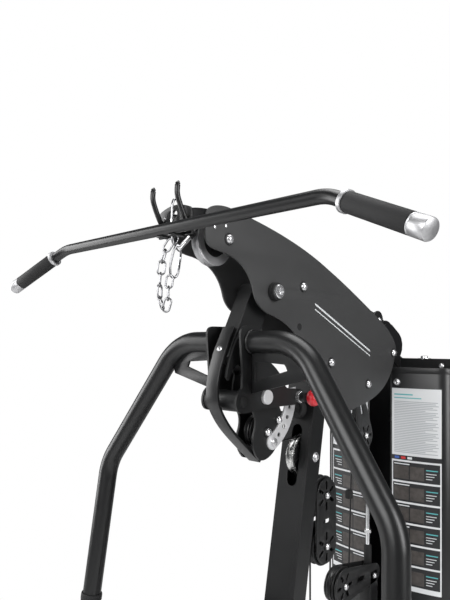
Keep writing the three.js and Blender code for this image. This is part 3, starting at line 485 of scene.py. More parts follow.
def nut_end(piece, at, axis, size=10.0, height=8.0, mat=None):
    """A hexagon nut on a washer."""
    piece.add(lathe([(0, 0), (size * 1.3, 0), (size * 1.3, 2), (0, 2)], at, axis, 24), DARK_STEEL)
    piece.add(lathe([(0, 2), (size, 2), (size, height), (size * 0.9, height + 1), (size * 0.5, height + 1),
        (size * 0.48, height + 4), (0, height + 4)], at, axis, 6), mat or BOLT_CHROME)


def wheel(name, at, body, cable_r=50.0, rim=54.0, half=12.0, mat=None, rim_mat=None, band=9.0):
    """A pulley turned from its section, with ribbed recesses and a bearing."""
    mat, rim_mat = mat or NYLON, rim_mat or mat or NYLON
    y, z = at
    groove = cable_r - 2.6
    piece = Piece(name)
    edge = [(rim - band, -half + 4), (rim - band + 0.8, -half + 1.4), (rim - 5.6, -half + 1.0),
        (rim - 5.2, -half + 2.0),
            (rim - 4.4, -half + 2.0), (rim - 4.0, -half + 0.9), (rim - 2.5, -half + 0.8), (rim - 0.6, -half + 1.6),
                (rim, -half + 3.2), (rim - 1.2, -half + 4.4)]
    bed = [(groove + 2.6 * (1 - math.cos(a)) * 1.1,
        3.1 * math.sin(a)) for a in [math.radians(d) for d in range(-75, 76, 15)]]
    run = edge + bed + [(r, -h) for r, h in reversed(edge)]
    piece.add(lathe(run + [run[0]], (0, y, z), (1, 0, 0), 56), rim_mat)
    hub = [(6, -half), (15, -half), (16.5, -half + 1.2), (17, -half + 5), (rim - band, -half + 5.5),
        (rim - band + 0.2, -half + 3.6)]
    piece.add(lathe(hub + [(r, -h) for r, h in reversed(hub)] + [hub[0]], (0, y, z), (1, 0, 0), 48), mat)
    for side in (-1, 1):
        for i in range(6):
            a = math.radians(60 * i + 15)
            direction = Vector((0, math.cos(a), math.sin(a)))
            across = Vector((0, -math.sin(a), math.cos(a))) * 1.6
            corners = []
            for x in (side * (half - 6), side * (half - 1.8)):
                for r in (16, rim - band + 0.5):
                    for s in (-1, 1):
                        corners.append(Vector((x, y, z)) + direction * r + across * s)
            piece.add((corners, [(0, 1, 3, 2), (4, 6, 7, 5), (0, 4, 5, 1), (2, 3, 7, 6), (0, 2, 6, 4),
                (1, 5, 7, 3)]), mat)
        piece.add(lathe([(5.6, side * (half - 1)), (12, side * (half - 1)), (12.4, side * (half - 0.2)),
            (5.6, side * (half - 0.2)), (5.6, side * (half - 1))], (0, y, z), (1, 0, 0), 28), BOLT_CHROME)
    return piece.make(body, name, slot="nylon")


# ---------------------------------------------------------------- camera
camera = bpy.data.objects.new("camera", bpy.data.cameras.new("camera"))
bpy.context.collection.objects.link(camera)
camera.location = (0.917, -1.075, 1.72)
camera.rotation_euler = (math.radians(90), 0, math.radians(44))
camera.data.sensor_fit = "HORIZONTAL"
camera.data.sensor_width = 36
camera.data.lens = 45.97
camera.data.shift_y = 42 / 450
camera.data.clip_end = 60
bpy.context.scene.camera = camera


# ---------------------------------------------------------------- boom
BOOM = pen((-215, 1920), ((-237, 1924), (-238, 1950)), ((-236, 1988),), ((-232, 2008), (-200, 2013)),
    ((-175, 2017), (-150, 2011)),
           ((-20, 1992), (110, 1960), (215, 1914)), ((300, 1880), (400, 1832), (500, 1782)),
               ((570, 1748), (591, 1706)),
           ((575, 1600), (500, 1556), (377, 1537)), ((324, 1527),), ((240, 1570), (150, 1670), (91, 1725)),
           ((50, 1768), (-27, 1786)), ((-70, 1797), (-82, 1830)), ((-95, 1880), (-130, 1905), (-180, 1914)),
           ((-200, 1916), (-215, 1920)), steps=14)
for side, node in ((1, "boom_plate_right"), (-1, "boom_plate_left")):
    low, high = (47, 52) if side > 0 else (-52, -47)
    boom = Piece(node)
    # The boom plates take the powder coat with painted room reflection in its colour.
    boom.add(plate([BOOM, circle((-12, 1839), 12.3, 32)], "YZ", low, high, 0.9), PLATE_BLACK_PAINTED_REFLECTION)
    if side > 0:
        for y, z in ((-167, 1944), (104, 1859), (421, 1597), (573, 1686), (500, 1728)):
            boom.add(tube([(-46.7, y, z), (46.9, y, z)], 8, 20), DARK_STEEL)
    boom.make("frame", node, slot="plate_grey")

marks = Piece("boom_stripes")
STRIPE_START, STRIPE_END = (156, 1816), (433, 1691)
for side in (1, -1):
    x0, x1 = (52.0, 52.25) if side > 0 else (-52.25, -52.0)
    for drop, height in ((0, 5), (-13, 3)):
        (a, za), (b, zb) = STRIPE_START, STRIPE_END
        marks.add(plate([[(a, za + drop), (b, zb + drop), (b, zb + drop + height), (a, za + drop + height)]], "YZ",
            x0, x1, 0.05), PALE)
marks.make("frame", slot="plate_grey")

bolts = Piece("frame_bolts")
for side in (1, -1):
    x = side * 52.0
    for y, z in ((-167, 1944), (104, 1859), (229, 1665), (421, 1597), (573, 1686)):
        if side > 0:
            bolt(bolts, (x, y, z), (1, 0, 0), 10.5, 8.5)
        else:
            nut_end(bolts, (x, y, z), (-1, 0, 0), 9.5, 8)
    for y, z in ((-210, 1965), (-176, 1972)):
        bolts.add(lathe([(0, 0), (4.2, 0), (4.0, 1.6), (2.6, 2.4), (0, 2.6)], (x, y, z), (side, 0, 0), 18),
            BOLT_CHROME)
    bolts.add(lathe([(0, 0), (9, 0), (9, 0.5), (0, 0.5)], (x, 89, 1758), (side, 0, 0), 20), RUBBER)
for side in (1, -1):
    bolts.add(lathe([(0, 0), (20, 0), (20, 1.2), (10.5, 1.6), (10.5, 7), (9.5, 8.5), (0, 8.8)],
        (side * 115, 655, 1668), (0, 0, 1), 28), BOLT_CHROME)
    bolt(bolts, (side * 180, 633.9, 1647), (0, -1, 0), 8, 6)
bolts.make("frame", slot="chrome")

pivot = Piece("pivot_stack")
for side in (1, -1):
    washers = [(12.1, 0), (22, 0), (22.6, 0.6), (22.6, 3.2), (21.4, 3.9), (21.4, 4.6), (22.2, 5.2), (22.2, 8),
        (20.4, 8.8), (20.4, 9.8), (21, 10.4), (21, 13.2), (19.5, 14), (12.1, 14), (12.1, 0)]
    pivot.add(lathe(washers, (side * 52.3, -12, 1839), (side, 0, 0), 40), RUBBER)
    pivot.add(lathe([(0, 13), (15.8, 13), (16.6, 14), (16.6, 18.5), (14.8, 20.2), (9, 20.9), (8.4, 20), (8.2, 16),
        (0, 15.4)], (side * 52.3, -12, 1839), (side, 0, 0), 32), BOLT_CHROME)
pivot.add(tube([(-60, -12, 1839), (60, -12, 1839)], 12, 28), CHROME)
pivot.make("frame", "pivot_axle", slot="chrome")


# ---------------------------------------------------------------- bar rest at the nose, carabiner, chain and cable end
rest = Piece("bar_rest")
face = pen((-53, 1942), ((53, 1942),), ((53, 1986),), ((52, 1998), (40, 2001)), ((0, 2016), (-40, 2001)),
    ((-52, 1998), (-53, 1986)), steps=10)
rest.add(plate([face, circle((0, 1990), 7.5, 28)], "XZ", -278, -272, 0.8), TUBE_BLACK)
flange = pen((-275, 1958), ((-275, 1996),), ((-255, 2001), (-228, 2002)), ((-190, 2002),), ((-190, 1992),),
    ((-236, 1960), (-275, 1958)), steps=8)
for low, high in ((40.8, 46), (-46, -40.8)):
    rest.add(plate([flange], "YZ", low, high, 0.7), TUBE_BLACK)
for x0, x1 in ((-28, -9), (9, 28)):
    rest.add(block(x0, x1, -305, -273, 1939.1, 1942.1, 0.8), TUBE_BLACK)
for side in (1, -1):
    rest.add(capsule_ends(smooth_path([(side * 39, -273, 1960), (side * 39, -284, 1976), (side * 39, -296, 1998),
        (side * 39, -305, 2022), (side * 39, -303, 2046)], 26), 5.6, 20), TUBE_BLACK)
    rest.add(lathe([(0, 0), (2.6, 0), (2.2, 1.2), (0, 1.5)], (side * 30, -278, 1984), (0, -1, 0), 14), BOLT_CHROME)
rest.make("frame", "bar_rest_bracket")

clip = Piece("carabiner")
loop = [(0, -285.2, 1990), (0, -284.6, 2008), (0, -280, 2019), (0, -272, 2022), (0, -265.5, 2014), (0, -265, 1996),
    (0, -266.5, 1970), (0, -268, 1948),
        (0, -271.5, 1934), (0, -277.5, 1926), (0, -283, 1930), (0, -285, 1943), (0, -285.2, 1966),
            (0, -285.2, 1990)]
clip.add(tube(smooth_path(loop, 72)[:-1], 2.9, 16, closed=True), CHAIN_ZINC)
clip.add(tube([(0, -285.2, 1952), (0, -285.2, 1978)], 3.6, 18), CHROME)
clip.make("frame", slot="chrome")

hook = Piece("snap_hook")
ring = [(0, -262, 1921), (-2, -269, 1925), (-4, -275, 1917), (-8, -279, 1898), (-11, -281, 1880),
    (-13, -278, 1862), (-13, -269, 1857),
        (-11, -260, 1866), (-7, -259, 1888), (-2, -259, 1910), (0, -262, 1921)]
hook.add(tube(smooth_path(ring, 60)[:-1], 2.6, 16, closed=True), CHAIN_ZINC)
hook.add(tube([(-9, -259.5, 1876), (-4, -259.2, 1902)], 3.3, 16), CHROME)
hook.add(capsule_ends([(0, -236, 1946), (0, -244, 1938), (0, -266, 1917)], 5.2, 20, 2), BOLT_CHROME)
hook.add(lathe([(0, 0), (7.5, 0), (8, 1), (8, 9), (6, 12), (3, 13), (0, 13)], (0, -233, 1949), (0, 0.70, 0.71),
    24), RUBBER)
hook.make("frame", slot="chrome")


def stadium(width, length, steps=9):
    """A link's centre line in its own (X, Z) plane."""
    half, r = (length - width) / 2, width / 2
    top = [(r * math.cos(math.pi * i / steps), half + r * math.sin(math.pi * i / steps)) for i in range(steps + 1)]
    return top + [(-x, -z) for x, z in top]


def chain(name, path_points, pitch=25.0, wire=2.1, width=19.0, length=33.6):
    """Real links along a path, each turned a quarter from the last."""
    piece = Piece(name)
    path = smooth_path(path_points, 400)
    lengths = [0.0]
    for a, b in zip(path, path[1:]):
        lengths.append(lengths[-1] + (b - a).length)
    count = int(lengths[-1] // pitch)
    for i in range(count):
        middle = pitch * (i + 0.5)
        j = min(max(k for k, s in enumerate(lengths) if s <= middle), len(path) - 2)
        ahead, behind = path[min(j + 14, len(path) - 1)], path[max(j - 14, 0)]
        tangent = (ahead - behind).normalized()
        turn = Vector((0, 0, 1)).rotation_difference(tangent) @ Quaternion((0, 0, 1),
            math.radians(38 + 90 * (i % 2) + 7 * math.sin(i * 2.1)))
        points = [path[j] + turn @ Vector((x, 0, z)) for x, z in stadium(width - 2 * wire, length - 2 * wire)]
        piece.add(tube(points, wire, 12, closed=True), CHAIN_ZINC)
    return piece


links = chain("lift_chain", [(-5, -282, 1934), (-17, -291, 1908), (-23, -296, 1870), (-25, -298, 1830),
    (-22, -297, 1802), (-14, -292, 1790),
                             (-10, -289, 1806), (-10, -286, 1836), (-12, -279, 1864)])
links.make("frame", "hanging_chain", slot="chrome")


# ---------------------------------------------------------------- cables
def cable_route(start, stops, end, per=8):
    """The taut line from start, round each stop (y, z, radius, turn), to end, in the X = 0 plane."""
    stops = [(*start, 0.0, 0), *stops, (*end, 0.0, 0)]
    signed = [s[2] * s[3] for s in stops]
    normals = []
    for a, b, ra, rb in zip(stops, stops[1:], signed, signed[1:]):
        normals.append(math.atan2(b[1] - a[1], b[0] - a[0]) + math.acos((rb - ra) / math.dist(a[:2], b[:2])))

    def at(i, angle):
        return (0, stops[i][0] - signed[i] * math.cos(angle), stops[i][1] - signed[i] * math.sin(angle))

    points = [at(0, 0)]
    for i in range(1, len(stops) - 1):
        turn, sweep = stops[i][3], normals[i] - normals[i - 1]
        while sweep * turn < 0:
            sweep += turn * 2 * math.pi
        while abs(sweep) > 2 * math.pi:
            sweep -= turn * 2 * math.pi
        steps = max(3, math.ceil(abs(math.degrees(sweep)) / per))
        points += [at(i, normals[i - 1] + sweep * s / steps) for s in range(steps + 1)]
    return points + [at(len(stops) - 1, 0)]


ANCHOR_Y = -115 + 0.186 * (1545 - 70)


def stop(name, turn):
    """A pulley as a stop of a cable: y, z, cable radius, and the way it turns the cable."""
    return (*PULLEYS[name][:3], turn)


FRONT, BOOM_WHEEL, REAR = stop("front_pulley", -1), stop("boom_pulley", -1), stop("rear_pulley", -1)
CAM, UPRIGHT_WHEEL, BLOCK_TOP = stop("cam_pulley", 1), stop("upright_pulley", -1), stop("block_pulley_upper", 1)
ROW, BASE, BLOCK_LOW = stop("row_pulley", 1), stop("base_pulley", 1), stop("block_pulley_lower", -1)
LOW, MID = stop("low_pulley", 1), stop("mid_pulley", -1)


def cut_route(route, at):
    """Cuts a route in two at its point nearest to at, given as (y, z). Both halves keep that point."""
    cut = min(range(len(route)), key=lambda i: math.dist(route[i][1:], at))
    return route[:cut + 1], route[cut:]


lat_route = [(0, -234, 1948), *cable_route((-226, 1956), [FRONT, BOOM_WHEEL, REAR], (655, 640.3))[1:]]
over_boom, down_to_stack = cut_route(lat_route, (655, 1735))
Piece("lat_cable_run").add(tube(over_boom, 2.5, 14), CABLE).make("frame", "lat_cable", slot="rubber")
lat = Piece("lat_cable_drop").add(tube(down_to_stack, 2.5, 14), CABLE)
lat.add(lathe([(0, 0), (6, 0), (7, 1), (7, 34), (4.5, 44), (2.6, 46), (0, 46)], (0, 655, 640.5), (0, 0, 1), 22),
    CHROME)
lat.make("frame", slot="rubber", towards=("stack", (0, 0.655, 1.5), (0, 0.655, 1.0)))

press_route = cable_route((ANCHOR_Y - 22.3, 1541), [CAM, UPRIGHT_WHEEL, BLOCK_TOP], (307, 1649.7))
round_cam, round_block = cut_route(press_route, (216, 1410))
cam_run = Piece("press_cable_run").add(tube(round_cam, 2.5, 14), CABLE)
cam_run.make("frame", "press_cable", slot="rubber", towards=("swing_arm", (0, 0.125, 1.503), (0, 0.045, 1.503)))
press = Piece("press_cable_drop").add(tube(round_block, 2.5, 14), CABLE)
press.make("frame", slot="rubber", towards=("pulley_block", (0, 0.257, 1.40), (0, 0.257, 1.315)))
Piece("press_cable_end").add(lathe([(2.6, 0), (5.5, 0), (6.5, 2), (6.5, 24), (5, 27), (2.6, 27), (2.6, 0)],
    (0, 307, 1621), (0, 0, 1), 20),
                             BOLT_CHROME).make("frame", slot="chrome")

low_route = cable_route((-650, 195), [ROW, BASE, BLOCK_LOW, LOW, MID], (510, 1300))
along_base, rest_of_low = cut_route(low_route, (207, 130))
up_and_over, to_mid = cut_route(rest_of_low, (300, 1020))
low = Piece("low_cable_run").add(tube(along_base, 2.5, 14), CABLE).add(tube(to_mid, 2.5, 14), CABLE)
low.add(lathe([(0, 0), (9, 0), (10, 2), (10, 20), (8, 30), (2.6, 34), (0, 34)], (0, -650, 178), (0, 0, 1), 24),
    RUBBER)
low.add(tube([(0, -650 + 11 * math.cos(a),
    206 + 11 * math.sin(a)) for a in [2 * math.pi * i / 28 for i in range(28)]], 2.6, 12, closed=True), CHROME)
low.add(lathe([(2.6, 0), (10.5, 0), (11.5, 1.5), (11.5, 20), (10, 24), (2.6, 25), (2.6, 0)], (0, 402, 1258),
    (0, 0.03, 1), 24), RUBBER)
low.make("frame", "low_cable", slot="rubber")
block_run = Piece("low_cable_over_block").add(tube(up_and_over, 2.5, 14), CABLE)
block_run.make("frame", slot="rubber", towards=("pulley_block", (0, 0.257, 1.06), (0, 0.257, 1.12)))


# ---------------------------------------------------------------- pulleys
RIMS = {"front_pulley": {"rim_mat": SATIN, "band": 20}, "upright_pulley": {"rim_mat": STEEL}}
for name, (y, z, cable_radius, rim_radius) in PULLEYS.items():
    wheel(name, (y, z), name, cable_radius, rim_radius, **RIMS.get(name, {}))


# ---------------------------------------------------------------- lat bar
END = Vector((588, -345, 1867))
BEND = Vector((396, -300, 1955))
ALONG = (END - BEND).normalized()
RUN = (END - BEND).length
bar = Piece("lat_bar_tube")
bar.add(tube(rounded_route([(-END.x, END.y, END.z), (-BEND.x, BEND.y, BEND.z), BEND, END], 90, 14), 12.5, 32),
    TUBE_BLACK)
bar.make("lat_bar", "lat_bar")
for side, node in ((1, "lat_grip_right"), (-1, "lat_grip_left")):
    def along(d):
        p = BEND + ALONG * d
        return Vector((side * p.x, p.y, p.z))
    axis = (along(1) - along(0)).normalized()
    fit = Piece(f"{node}_fittings")
    fit.add(lathe([(12.6, 0), (17.8, 0), (19, 1.2), (19, 7.8), (17.8, 9), (12.6, 9), (12.6, 0)], along(42), axis,
        40), SATIN)
    cap = [(12.6, 0), (15.5, 0), (17, 1.2), (17, 3), (16.6, 3.6), (17, 4.2), (17, 29), (16.2, 31), (14.5, 32),
        (0, 32.2)]
    fit.add(lathe(cap, along(RUN - 32), axis, 40), SATIN)
    fit.make("lat_bar", slot="chrome")
    grip = Piece(f"{node}_sleeve")
    length = RUN - 32.3 - 51.3
    grip.add(lathe([(12.7, 0), (16.2, 0), (17, 1.2), (17, length - 1.2), (16.2, length), (12.7, length),
        (12.7, 0)], along(51.3), axis, 44), GRIP)
    grip.make("lat_bar", node, slot="rubber")


# ---------------------------------------------------------------- swing arm
refine("swing_arm", DARK_STEEL, 2.0)
refine("cam_plates", DARK_STEEL, 0.8)
refine("press_bracket", DARK_STEEL, 0.8)
refine("adjuster_axle", BRIGHT_ZINC, 1.5)
band_path = smooth_path([(0, -113.5, 1756), (0, -131, 1724), (0, -146, 1696), (0, -165, 1642), (0, -169, 1601),
    (0, -160, 1567), (0, -124, 1518), (0, -57, 1458), (0, -22, 1430)], 60)
outer, inner = [], []
for i, p in enumerate(band_path):
    t = (band_path[min(i + 1, 59)] - band_path[max(i - 1, 0)]).normalized()
    outer.append((p.y, p.z))
    inner.append((p.y - t.z * 6.8, p.z + t.y * 6.8))
guard = Piece("guard_strip")
guard.add(plate([outer + inner[::-1]], "YZ", -18, 18, 0.8), TUBE_BLACK)
guard.make("swing_arm", "guard_band")

swing = Piece("swing_bolts")
for side in (1, -1):
    for y, z in ((34, 1528), (-8, 1503), (-52, 1645)):
        if side > 0:
            bolt(swing, (28.4, y, z), (1, 0, 0), 9.5, 8)
        else:
            nut_end(swing, (-28.4, y, z), (-1, 0, 0), 9, 8)
    swing.add(lathe([(0, 0), (12.5, 0), (13, 0.6), (12.5, 2.2), (9, 2.4), (8.4, 7), (6.5, 8.6), (0, 9)],
        (side * 44, -12, 1839), (side, 0, 0), 28), DARK_STEEL)
swing.add(lathe([(0, 0), (7, 0), (7, 1), (5.5, 4), (0, 4.6)], (0, -142.2, 1704), (0, -0.88, 0.47), 22), BOLT_CHROME)
swing.make("swing_arm", slot="chrome")

ADJ = (-48, 1592)


def adjust_hole(i):
    angle = math.radians(-3.6 - 12 * i)
    return (ADJ[0] + 127 * math.cos(angle), ADJ[1] + 127 * math.sin(angle))


sector = Piece("adjuster_sector")
first, last = math.radians(5.4), math.radians(-63.6)
arc = [(147, first + (last - first) * i / 20) for i in range(21)]
tip = (ADJ[0] + 127 * math.cos(last), ADJ[1] + 127 * math.sin(last))
outline = [(ADJ[0] + r * math.cos(a), ADJ[1] + r * math.sin(a)) for r, a in arc]
outline += [(tip[0] + 20 * math.cos(last - math.pi * i / 14),
    tip[1] + 20 * math.sin(last - math.pi * i / 14)) for i in range(1, 14)]
outline += [(ADJ[0] + 108 * math.cos(a), ADJ[1] + 108 * math.sin(a)) for a in [last + (first - last) * i / 20 for i in range(21)]]
sector.add(plate([outline, *[circle(adjust_hole(i), 6.0, 22) for i in range(5)]], "YZ", 28.6, 33.6, 0.6),
    BRIGHT_ZINC)
sector.add(lathe([(0, 0), (10, 0), (10.4, 1), (9, 6), (4, 8), (0, 8)], (33.6, *tip), (1, 0, 0), 24), BOLT_CHROME)
sector.make("swing_arm", "adjuster_plate", slot="zinc")


# ---------------------------------------------------------------- press arms
for side, tag in ((1, "right"), (-1, "left")):
    def at(x, y, z):
        return (side * x, y, z)
    arm = Piece(f"press_arm_tube_{tag}")
    route = rounded_route([at(56.4, -95, 1720), at(192, -95, 1720), at(433, -142, 1386), at(466, -203, 870)], 130,
        16)
    arm.add(tube(route, 25, 40), TUBE_BLACK)
    web = [(side * 56.4, 1702), (side * 172, 1702), (side * 214, 1660), (side * 206, 1640), (side * 56.4, 1603)]
    hole = [(side * 68, 1676), (side * 152, 1671), (side * 158, 1658), (side * 68, 1632)]
    arm.add(plate([web, hole], "XZ", -98, -92, 0.8), TUBE_BLACK)
    arm.add(tube([(side * 59, -95 + 25.4 * math.cos(a),
        1720 + 25.4 * math.sin(a)) for a in [2 * math.pi * i / 48 for i in range(48)]], 2.6, 12, closed=True),
        TUBE_BLACK)
    arm.make("press_arms", f"press_arm_{tag}")
    low_end, knee = Vector(at(466, -203, 870)), Vector(at(433, -142, 1386))
    up = (knee - low_end).normalized()
    grip = Piece(f"press_grip_sleeve_{tag}")
    section = [(0, 0.3), (25, 0.3), (28, 1.2), (29, 3.5), (29, 9), (28.2, 10.5), (28.2, 138), (29, 140), (29, 152),
        (28, 155.5), (25.8, 156), (25.8, 2.0), (0, 2.0)]
    grip.add(lathe(section, low_end + up * 2, up, 44), GRIP)
    grip.make("press_arms", f"press_grip_{tag}", slot="rubber")

arm_bolts = Piece("press_bolts")
for side in (1, -1):
    arm_bolts.add(lathe([(0, 0), (13, 0), (13, 0.8), (12, 1.4), (0, 1.4)], (side * 56.1, -122, 1586), (side, 0, 0),
        32), RUBBER)
arm_bolts.make("press_arms")

pin_y, pin_z = adjust_hole(0)
knob = Piece("pull_knob")
knob.add(lathe([(0, 34), (4.9, 34), (5, 35.5), (5, 90), (0, 90)], (0, pin_y, pin_z), (1, 0, 0), 24), CHROME)
section = [(0, 86), (8, 86), (11, 88), (13, 91), (18, 94), (20, 97.5), (20.4, 103), (19.5, 108), (16.5, 112),
    (11, 115), (0, 116)]
knob.add(lathe(section, (0, pin_y, pin_z), (1, 0, 0), 40), RED)
knob.make("pull_pin", "pull_pin", slot="red_plastic")
collar = Piece("pull_pin_nut")
collar.add(lathe([(12.1, 0), (15, 0), (15, 9), (14, 10), (12.1, 10), (12.1, 0)], (57, pin_y, pin_z), (1, 0, 0), 6),
    BOLT_CHROME)
collar.make("press_arms", slot="chrome")


# ---------------------------------------------------------------- upright and pulley brackets
refine("upright", TUBE_BLACK, 6.0, segments=3)
front = Piece("upright_fittings")
slope_axis = Vector((0, -1, 0.186)).normalized()
front.add(lathe([(5, -2), (24, -2), (25, 0), (25, 14), (23, 17), (5, 17.5), (5, -2)],
    (0, -115 + 0.186 * 1472 - 2, 1542), slope_axis, 32), RUBBER)
for side in (1, -1):
    front.add(lathe([(0, 0), (13, 0), (13, 1.4), (9, 2), (8.4, 6.4), (6, 8), (0, 8.2)], (side * 45, 167, 1420),
        (side, 0, 0), 26), BOLT_CHROME)
    for y, z in ((229 - 30, 1665),):
        front.add(lathe([(0, 0), (11, 0), (10, 1.6), (0, 1.8)], (side * 45, y, z), (side, 0, 0), 22), DARK_STEEL)
for z in (740, 955):
    y = -115 + 0.186 * (z - 70)
    front.add(lathe([(0, 0), (11, 0), (11, 1.5), (8, 2), (7.4, 6), (0, 7)], (0, y + 55, z), (0, 1, -0.186), 24),
        BOLT_CHROME)
front.make("frame", slot="rubber")


def cheeks(name, outline, holes, body, *nodes, x0=15.0, x1=20.0, mat=None, bolts_at=(), spacers=(), extra=None):
    """Two pulley cheek plates with their slots, spacers and bolts."""
    piece = Piece(name)
    for low, high in ((x0, x1), (-x1, -x0)):
        piece.add(plate([outline, *holes], "YZ", low, high, 1.0), mat or NYLON)
    for y, z, r in spacers:
        piece.add(tube([(-x0, y, z), (x0, y, z)], r, 20), DARK_STEEL)
    for y, z, size in bolts_at:
        bolt(piece, (x1, y, z), (1, 0, 0), size, 7, mat=BOLT_CHROME)
        nut_end(piece, (-x1, y, z), (-1, 0, 0), size * 0.9, 7)
    if extra:
        extra(piece)
    return piece.make(body, *nodes)


def slots_round(centre, radius, length, width, start=0):
    """Six slots that point out from a centre."""
    angles = [math.radians(60 * i + start) for i in range(6)]
    return [slot_loop((centre[0] + radius * math.cos(a), centre[1] + radius * math.sin(a)), length, width,
        a) for a in angles]


upper, lower = (257, 1297), (257, 1157)
block_holes = [*slots_round(upper, 29, 24, 9, 30), *slots_round(lower, 29, 24, 9, 30),
    slot_loop((257, 1227), 34, 12, 0)]
cheeks("pulley_block_cheeks", link_loop(lower, upper, 47, 47), block_holes, "pulley_block", "pulley_block",
    spacers=((257, 1297, 5), (257, 1157, 5)), bolts_at=((257, 1297, 9), (257, 1157, 9)))
mid_holes = slots_round((465, 1438), 24, 18, 7)
cheeks("mid_pulley_cheeks", link_loop((465, 1438), (421, 1597), 40, 18),
    [*mid_holes, slot_loop((441, 1525), 46, 12, math.atan2(159, -44))], "frame", "mid_pulley_bracket",
    spacers=((465, 1438, 5), (421, 1597, 11)), bolts_at=((465, 1438, 9),))


cheeks("boom_pulley_cheeks", link_loop((540, 1788), (500, 1728), 29, 16), [], "frame", "boom_pulley_bracket",
    spacers=((540, 1788, 5), (500, 1728, 11)), bolts_at=((540, 1788, 8),))


def low_extra(piece):
    piece.add(block(-20, 20, 490, 535, 65.3, 1020, 3.0, 3), TUBE_BLACK)
    piece.add(tube([(0, 510, 1090), (0, 510, 1299.7)], 6, 24), CHROME)
    piece.add(lathe([(0, 0), (11, 0), (11.5, 1), (11.5, 70), (10, 74), (6, 75), (0, 75)], (0, 510, 1020),
        (0, 0, 1), 28), RUBBER)
    piece.add(lathe([(6, 0), (11, 0), (11, 9), (6, 9), (6, 0)], (0, 510, 1132), (0, 0, 1), 6), BOLT_CHROME)
    piece.add(lathe([(6, 0), (9, 0), (9, 26), (7, 30), (2.6, 31), (0, 31)], (0, 510, 1270), (0, 0, 1), 24), CHROME)


low_holes = slots_round((350, 1018), 28, 22, 9)
cheeks("low_pulley_cheeks", link_loop((350, 1018), (520, 1010), 50, 28),
    [*low_holes, slot_loop((438, 1014), 46, 16, -0.05)], "frame", "low_pulley_bracket", spacers=((350, 1018, 5),),
    bolts_at=((350, 1018, 9), (512, 1004, 8)), extra=low_extra)


# ---------------------------------------------------------------- weight stack, head tube and shrouds
refine("head_tube", TUBE_BLACK, 1.5)
ends = Piece("head_tube_caps")
for side in (1, -1):
    ends.add(block(side * 262 - (0 if side > 0 else 5), side * 262 + (5 if side > 0 else 0), 634.5, 675.5, 1626.5,
        1667.5, 1.8, 3), RUBBER)
    bolt(ends, (side * 20, 605, 1735), (side, 0, 0), 9, 7)
ends.make("frame", slot="rubber")
for node in ("guide_rod_left", "guide_rod_right", "selector_rod"):
    refine(node, CHROME, 0.5, 60)

PLATE_LOOP = [(-150, 607.5), (150, 607.5), (150, 702.5), (-150, 702.5)]
ROD_HOLES = [circle((-115, 655), 11, 24), circle((115, 655), 11, 24), circle((0, 655), 10, 24)]
stack = Piece("stack_lower_plates")


def weight(piece, z0, z1, mark):
    """One plate: rounded edges, guide rod holes, a black disc of painted shade for the pin hole and a small generic
    mark.
    """
    piece.add(plate([PLATE_LOOP, *ROD_HOLES], "XY", z0 + 0.4, z1 - 0.4, 1.6), IRON)
    middle = (z0 + z1) / 2
    # The pin hole is not cut: this thin black disc on the front face is painted shade for its dark inside.
    piece.add(lathe([(0, 0), (6.4, 0), (6.4, 0.4), (0, 0.4)], (0, 607.6, middle), (0, -1, 0), 20), RUBBER)
    piece.add(plate([[(20, middle - 6), (48, middle - 6), (48, middle + 6), (20, middle + 6)]], "XZ", 607.15,
        607.5, 0.05), PALE)
    for k in range(mark % 5 + 1):
        piece.add(plate([circle((24 + 5 * k, middle), 1.5, 10)], "XZ", 606.9, 607.2, 0.05),
            LABEL_RED if mark > 4 else BLUE)


for i in range(11):
    weight(stack, 74 + 30 * i, 104 + 30 * i, i)
stack.make("frame", "lower_plates", slot="iron")
lifted = Piece("stack_lifted_plates")
for i in range(2):
    weight(lifted, 404.3 + 30 * i, 434.3 + 30 * i, i + 1)
lifted.make("stack", "lifted_plates", slot="iron")
top = Piece("stack_top_plate")
top.add(plate([PLATE_LOOP, *ROD_HOLES], "XY", 464.6, 506.6, 2.4), IRON)
for x in (-115, 115):
    top.add(lathe([(10.8, 0), (17, 0), (18, 1), (18, 11), (16, 13), (10.8, 13), (10.8, 0)], (x, 655, 506.4),
        (0, 0, 1), 32), NYLON)
top.make("stack", "top_plate", slot="iron")
pin = Piece("stack_pin")
PIN_Z = 419.3
pin.add(tube([(0, 592, PIN_Z), (0, 645.6, PIN_Z)], 5, 20), CHROME)
pin.add(lathe([(0, 0), (9, 0), (12.4, 2), (13, 5), (11.6, 9), (10.6, 13), (12, 18), (11.4, 21), (8, 22), (0, 22)],
    (0, 578, PIN_Z), (0, 1, 0), 32), RED)
pin.make("selector_pin", "selector_pin", slot="red_plastic")

SHROUD_PATH = [(39, 585), (62, 584), (110, 590), (160, 600), (190, 610), (207, 626), (215, 650), (216, 700),
    (211, 726), (192, 741), (150, 746), (39, 746)]


def shroud_line(count=56):
    return smooth_path([(x, y, 0) for x, y in SHROUD_PATH], count)


